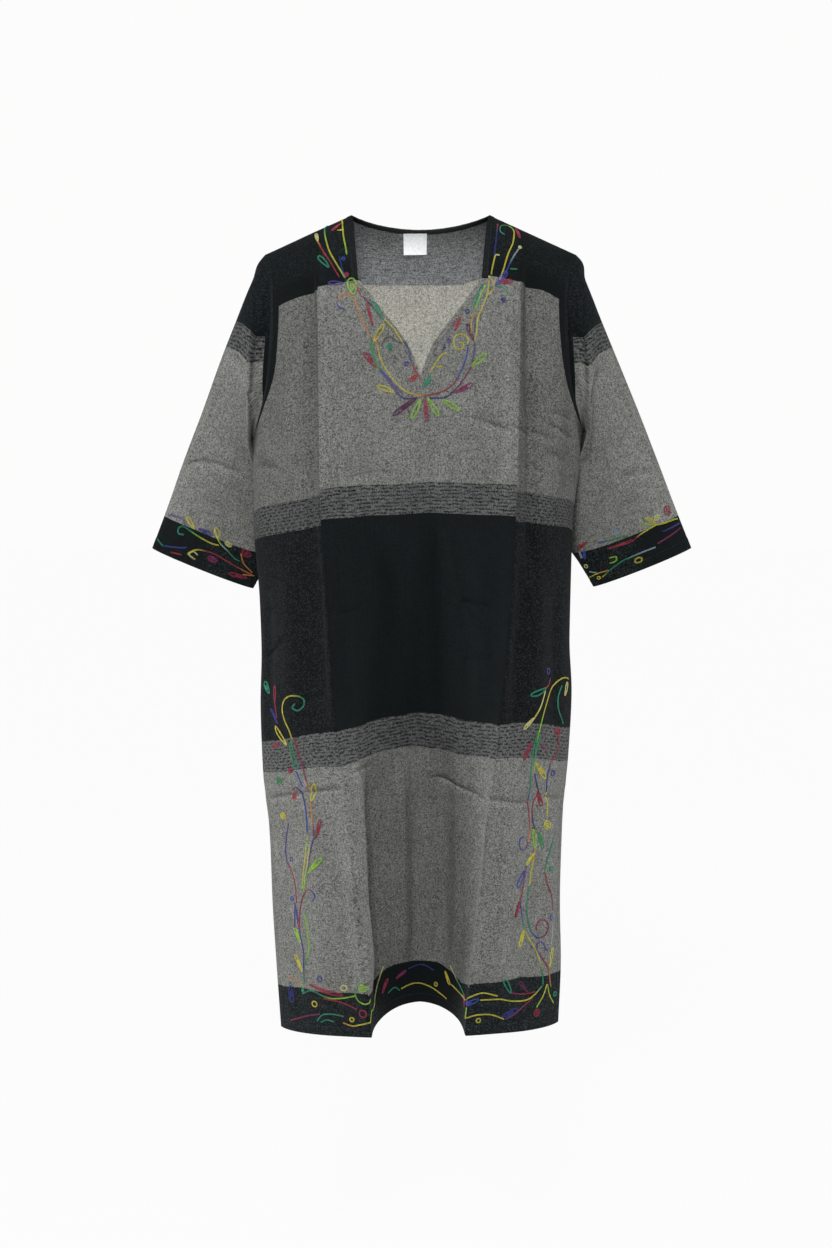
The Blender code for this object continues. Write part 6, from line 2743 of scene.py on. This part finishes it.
HEM_CHART = (
    # left corner
    ring("t", (-227, 1075), 7, True), leaf("c", (-213, 1064), (-163, 1078), 7),
    stem("tttg", (-229, 1080), (-211, 1073), (-193, 1078)),
    stem("glll", (-193, 1078), (-177, 1082), (-160, 1081), (-146, 1078)),
    ring("v", (-193, 1054), 10), ring("y", (-207, 1092), 10), ring("p", (-161, 1067), 10),
    ring("l", (-135, 1066), 12, True), leaf("n", (-250, 1070), (-249, 1094), 11),
    stem("ccmm", (-256, 1122), (-226, 1112), (-200, 1106)),
    stem("tttg", (-206, 1117), (-196, 1107), (-181, 1105), (-165, 1108)),
    stem("tt", (-200, 1118), (-190, 1114), (-180, 1116)),
    stem("ccc", (-191, 1082), (-168, 1087), (-146, 1097)), ring("c", (-138, 1103), 12),
    stem("oyyl", (-167, 1117), (-155, 1121), (-143, 1119), (-127, 1114), (-117, 1106)),
    ring("y", (-154, 1112), 8), stem("gll", (-147, 1068), (-144, 1083), (-134, 1089), (-126, 1085)),
    stem("lpp", (-117, 1106), (-104, 1110), (-89, 1099), (-75, 1084), (-64, 1068)),
    # across the arch
    leaf("c", (-72, 1104), (-58, 1088), 7), stem("ttt", (-35, 1114), (-45, 1106), (-59, 1109)),
    stem("yyyy", (-33, 1112), (-10, 1108), (14, 1111), (36, 1117), (52, 1121)),
    ring("y", (29, 1106), 8), leaf("y", (46, 1082), (58, 1098), 7),
    stem("yyp", (60, 1096), (82, 1099), (107, 1098)),
    stem("ptt", (56, 1070), (76, 1086), (104, 1097)),
    leaf("c", (108, 1108), (98, 1094), 7), stem("nn", (-20, 1084), (4, 1080), (24, 1086)),
    leaf("m", (-42, 1094), (-24, 1086), 6),
    # right corner
    leaf("b", (114, 1098), (143, 1086), 8), stem("yyyy", (119, 1092), (132, 1082), (149, 1077),
                                                 (168, 1082)),
    stem("yyyyyt", (145, 1087), (170, 1087), (192, 1092), (212, 1093), (227, 1085), (238, 1073)),
    stem("yyyo", (181, 1117), (162, 1109), (144, 1108), (131, 1111), (121, 1117)),
    leaf("l", (120, 1118), (125, 1100), 6), ring("y", (145, 1116), 8),
    stem("vmmcc", (182, 1117), (196, 1111), (208, 1102), (222, 1091)),
    leaf("n", (177, 1113), (201, 1104), 9), stem("yyl", (245, 1073), (240, 1090), (231, 1105)),
    stem("llyl", (246, 1073), (254, 1090), (266, 1105)), ring("c", (232, 1113), 12, True),
    ring("t", (268, 1092), 9), leaf("t", (188, 1080), (176, 1059), 9, False),
    stem("mcc", (188, 1080), (207, 1084), (226, 1082)), leaf("u", (214, 1081), (202, 1066), 7),
)
# ---- charts of the cuffs: round from the middle of the front, and up from the edge ---------------
CUFF_CHARTS = {
    Hand.LEFT: (
        stem("vv", (-57, 45), (-34, 50), (-30, 45)), leaf("y", (-20, 48), (-31, 56), 7, False),
        stem("tttglyy", (-27, 34), (-33, 32), (-35, 38), (-30, 43), (-14, 42), (-1, 43), (5, 46)),
        leaf("y", (2, 54), (-2, 66), 7, False),
        stem("ylsgtt", (0, 57), (5, 50), (14, 45), (22, 40), (28, 39)),
        ring("p", (12, 55), 8, True),
        ring("c", (31, 57), 12, True), stem("oooo", (26, 52), (33, 39), (48, 30)),
        leaf("c", (45, 17), (24, 12), 9), stem("oo", (38, 20), (54, 26)),
        stem("yyccrroo", (-17, 13), (-12, 23), (-5, 28), (5, 31), (15, 30), (28, 28), (50, 26)),
        stem("ppp", (-8, 18), (-13, 20), (-16, 14), (-9, 11)), ring("m", (5, 22), 10, True),
        stem("gt", (-62, 13), (-46, 9)), stem("bvb", (-45, 9), (-27, 16), (-20, 21)),
        stem("rr", (-34, 6), (-22, 9)), leaf("n", (-16, 51), (-4, 54), 7),
    ),
    Hand.RIGHT: (
        leaf("r", (36, 79), (51, 78), 7), leaf("s", (52, 70), (55, 58), 5),
        leaf("b", (45, 69), (51, 54), 5), ring("p", (57, 41), 9), stem("ss", (57, 30), (46, 23)),
        stem("yyo", (66, 19), (45, 21), (31, 19)),
        stem("btgg", (26, 68), (14, 61), (0, 53)), ring("s", (7, 68), 11, True),
        leaf("c", (21, 51), (-3, 43), 5), stem("cyyy", (-3, 44), (-13, 46), (-26, 46)),
        stem("ygttt", (42, 12), (26, 20), (13, 24)), stem("tss", (13, 24), (-3, 23), (-18, 21)),
        stem("lll", (27, 29), (20, 28), (18, 34), (24, 37)), ring("y", (1, 15), 9),
        stem("llyyyl", (-13, 60), (-21, 51), (-31, 44), (-43, 41), (-60, 38)),
        leaf("y", (-20, 61), (-27, 49), 5, False), ring("p", (-31, 53), 8, True),
        ring("c", (-47, 53), 12, True), stem("nvv", (-31, 34), (-43, 33), (-60, 32)),
        stem("mmu", (-21, 24), (-35, 25), (-59, 27)), ring("y", (47, 13), 7),
    ),
}
# ---- charts of the sewing ------------------------------------------------------------------------
FACING_PATH = ((-100, 150), (-88, 210), (-62, 268), (-50, 290), (-38, 307), (17, 309), (60, 304),
               (78, 279), (88, 250), (91, 195), (98, 150))


@dataclass(frozen=True)
class Embroidery:
    """All chain-stitch pieces: neck, both vines, hem and cuffs."""

    finish: bpy.types.Material

    def build(self) -> list[bpy.types.Object]:
        """Work the charts.

        Returns:
            The finished pieces.
        """
        front = BodySurface(Face.FRONT)
        made = []
        for name, chart in (("neck_embroidery", NECK_CHART), ("left_vine", LEFT_VINE_CHART),
                            ("right_vine", RIGHT_VINE_CHART), ("hem_embroidery", HEM_CHART)):
            made.append(ThreadWork(name, front, CHAIN_STITCH).work(chart).build(self.finish))
        for hand in Hand:
            surface = SleeveSurface(SleeveDrape(hand))
            for side, origin, flip in (("outer", 0.25, 1), ("hidden", 0.75, -1)):
                unit = (flip * CUFF_ROUND, -SLEEVE_FALL / MM)
                work = ThreadWork(f"{side}_cuff_embroidery_{hand.name.lower()}", surface,
                                  CHAIN_STITCH, unit, (origin, 1.0))
                made.append(work.work(CUFF_CHARTS[hand]).build(self.finish))
        return made


@dataclass(frozen=True)
class Sewing:
    """Running stitches of the hems, slits, cuffs, V edge, facing and neck binding."""

    finish: bpy.types.Material

    def build(self) -> list[bpy.types.Object]:
        """Sew every line.

        Returns:
            The finished pieces.
        """
        made = []
        for face in Face:
            work = ThreadWork(f"sewing_{face.name.lower()}", BodySurface(face), RUNNING_STITCH)
            for dyes, line in self.body_lines(face):
                work.lay(line / MM, dyes)
            made.append(work.build(self.finish))
            tape = ThreadWork(f"sewing_binding_{face.name.lower()}", BodySurface(face),
                              RUNNING_STITCH, lift=(BINDING_WALL * BINDING_GROOVE - CLOTH_WALL) / 2)
            for line in self.binding_lines(face):
                tape.lay(line / MM, "k")
            made.append(tape.build(self.finish))
        for hand in Hand:
            work = ThreadWork(f"sewing_cuff_{hand.name.lower()}", SleeveSurface(SleeveDrape(hand)),
                              RUNNING_STITCH, (CUFF_ROUND, -SLEEVE_FALL / MM), (0.0, 1.0))
            around = np.linspace(0, CUFF_ROUND, 200)
            work.lay(np.column_stack((around, np.full(len(around), CUFF_TURN / MM))), "k")
            made.append(work.build(self.finish))
        return made

    def body_lines(self, face: Face) -> list[tuple[str, np.ndarray]]:
        """Dyes and flat lines, in metres, of a body panel's sewing.

        Args:
            face: The panel.

        Returns:
            Dyes and points of each line.
        """
        level = HEM_DOWN - HEM_TURN
        reach = float(smooth(SIDE_ROWS, "half_cut", level))
        across = np.linspace(-reach, reach, 300)
        lines = [("k", np.column_stack((across, np.full(len(across), level))))]
        downs = np.linspace(SLIT_DOWN + SLIT_SEWN_FROM, level, 80)
        slit = np.column_stack((smooth(SIDE_ROWS, "half_cut", downs) - SLIT_TURN, downs))
        top = np.array(((slit[0][0], slit[0][1]), (slit[0][0] + SLIT_TURN, slit[0][1])))
        for flip in (-1, 1):
            lines.append(("aaak", slit * (flip, 1)))
            lines.append(("a", even_steps(top * (flip, 1), 6)))
        if face == Face.FRONT:
            row = beside_v(V_TURN)
            for flip in (-1, 1):
                lines.append(("k", row[row[:, 0] > 0] * (flip, 1)))
            lines.append(("a", curve_through(FACING_PATH) * MM))
        return lines

    def binding_lines(self, face: Face) -> list[np.ndarray]:
        """Flat lines, in metres, of the stitching along the binding of one panel.

        Args:
            face: The panel.

        Returns:
            Points of each line.
        """
        rows = [row for row in binding_rows(NECK_SIDE_STEPS, NECK_BACK_STEPS) if row[0] == face]
        line = np.array([np.array(edge) + (np.array(inner) - edge) * BINDING_STITCH
                         for _, edge, inner in rows])
        if face == Face.BACK:
            return [line]
        return [line[line[:, 0] < 0], line[line[:, 0] > 0]]


# ==== The garment ====
# its last number is painted shade on the chest's side panels
OUTER_BODY = BandedCotton(
    "banded_cotton_outside", BODY_BANDS,
    grey_light=shade(156, 157, 153), grey_dark=shade(60, 61, 58),
    black_light=shade(66, 73, 76), black_dark=shade(6, 13, 15),
    fleck_light=shade(112, 113, 112), fleck_dark=shade(20, 23, 25),
    glint=0.6, mottle=0.08, dash=30.0, painted_panel_shade=0.24)
# the inner face: partly the weave's own reverse, partly painted light, its colours lighter to stand
# in for light shining through the thin cloth from behind
INNER_BODY = BandedCotton(
    "banded_cotton_inside", BODY_BANDS,
    grey_light=shade(164, 163, 154), grey_dark=shade(90, 89, 82),
    black_light=shade(154, 156, 156), black_dark=shade(22, 26, 29),
    fleck_light=shade(128, 129, 127), fleck_dark=shade(40, 43, 45),
    glint=0.2, mottle=0.75, dash=30.0, painted_panel_shade=0.0)
# painted light: the sleeves' grey is a lighter copy of the body's grey, to lift the sleeves
OUTER_SLEEVE = replace(
    OUTER_BODY, name="banded_cotton_sleeve", bands=SLEEVE_BANDS,
    grey_light=shade(163, 163, 159), grey_dark=shade(69, 70, 67), dash=SHORT_DASH, painted_panel_shade=0.0)


@dataclass
class Shells:
    """The sewn sheets of cloth: front, back and both sleeves."""

    front: BodyPanel = BodyPanel("front_cloth", Face.FRONT, FRONT_STEP)
    back: BodyPanel = BodyPanel("back_cloth", Face.BACK, BACK_STEP)
    sleeves: tuple[Sleeve, ...] = (Sleeve("sleeve_left_cloth", Hand.LEFT),
                                   Sleeve("sleeve_right_cloth", Hand.RIGHT))
    cuts: dict[str, tuple[float, float, float]] = field(default_factory=dict)

    def build(self) -> dict[str, bpy.types.Object]:
        """Make the shells, dress them and tell the frame what they stand for.

        Returns:
            The finished objects by name.
        """
        sheets = [self.front.sheet(), self.back.sheet(), *(part.sheet() for part in self.sleeves)]
        plain = shared_normals(sheets, [sheet.middle for sheet in sheets])
        raised = [sheet.middle + normal * sheet.relief[:, None]
                  for sheet, normal in zip(sheets, plain)]
        final = shared_normals(sheets, raised)
        outside, inside = OUTER_BODY.build(), INNER_BODY.build()
        sleeve = OUTER_SLEEVE.build()
        made = {}
        for sheet, wall, bare in zip(sheets, final, plain):
            on_body = sheet.name in (self.front.name, self.back.name)
            piece = shell(sheet, wall, bare, outside if on_body else sleeve,
                          inside if on_body else sleeve)
            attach(piece, BODY)
            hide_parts(sheet.name.removesuffix("_cloth"))
            made[piece.name] = piece
            self.cuts[piece.name] = sheet.cut()
            LOG.info("%s: %d triangles", piece.name, len(piece.data.polygons))
        return made


def main() -> None:
    """Build the garment piece by piece inside its studio."""
    logging.basicConfig(level=logging.INFO, format="%(name)s %(message)s")
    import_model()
    bpy.ops.object.select_all(action="DESELECT")
    studio = Studio()
    studio.build()
    cloth = Shells()
    shells = cloth.build()
    binding = NeckBinding().build(BlackBinding().build())
    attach(binding, BODY)
    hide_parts("neck_binding")
    label = BlankLabel().build(LabelSatin().build())
    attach(label, BODY)
    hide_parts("label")
    studio.neck_light((shells["back_cloth"], label, binding))
    thread = Thread("embroidery_cotton").build()
    for piece in Embroidery(thread).build() + Sewing(thread).build():
        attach(piece, BODY)
        LOG.info("%s: %d faces", piece.name, len(piece.data.polygons))


if __name__ == "__main__":
    main()
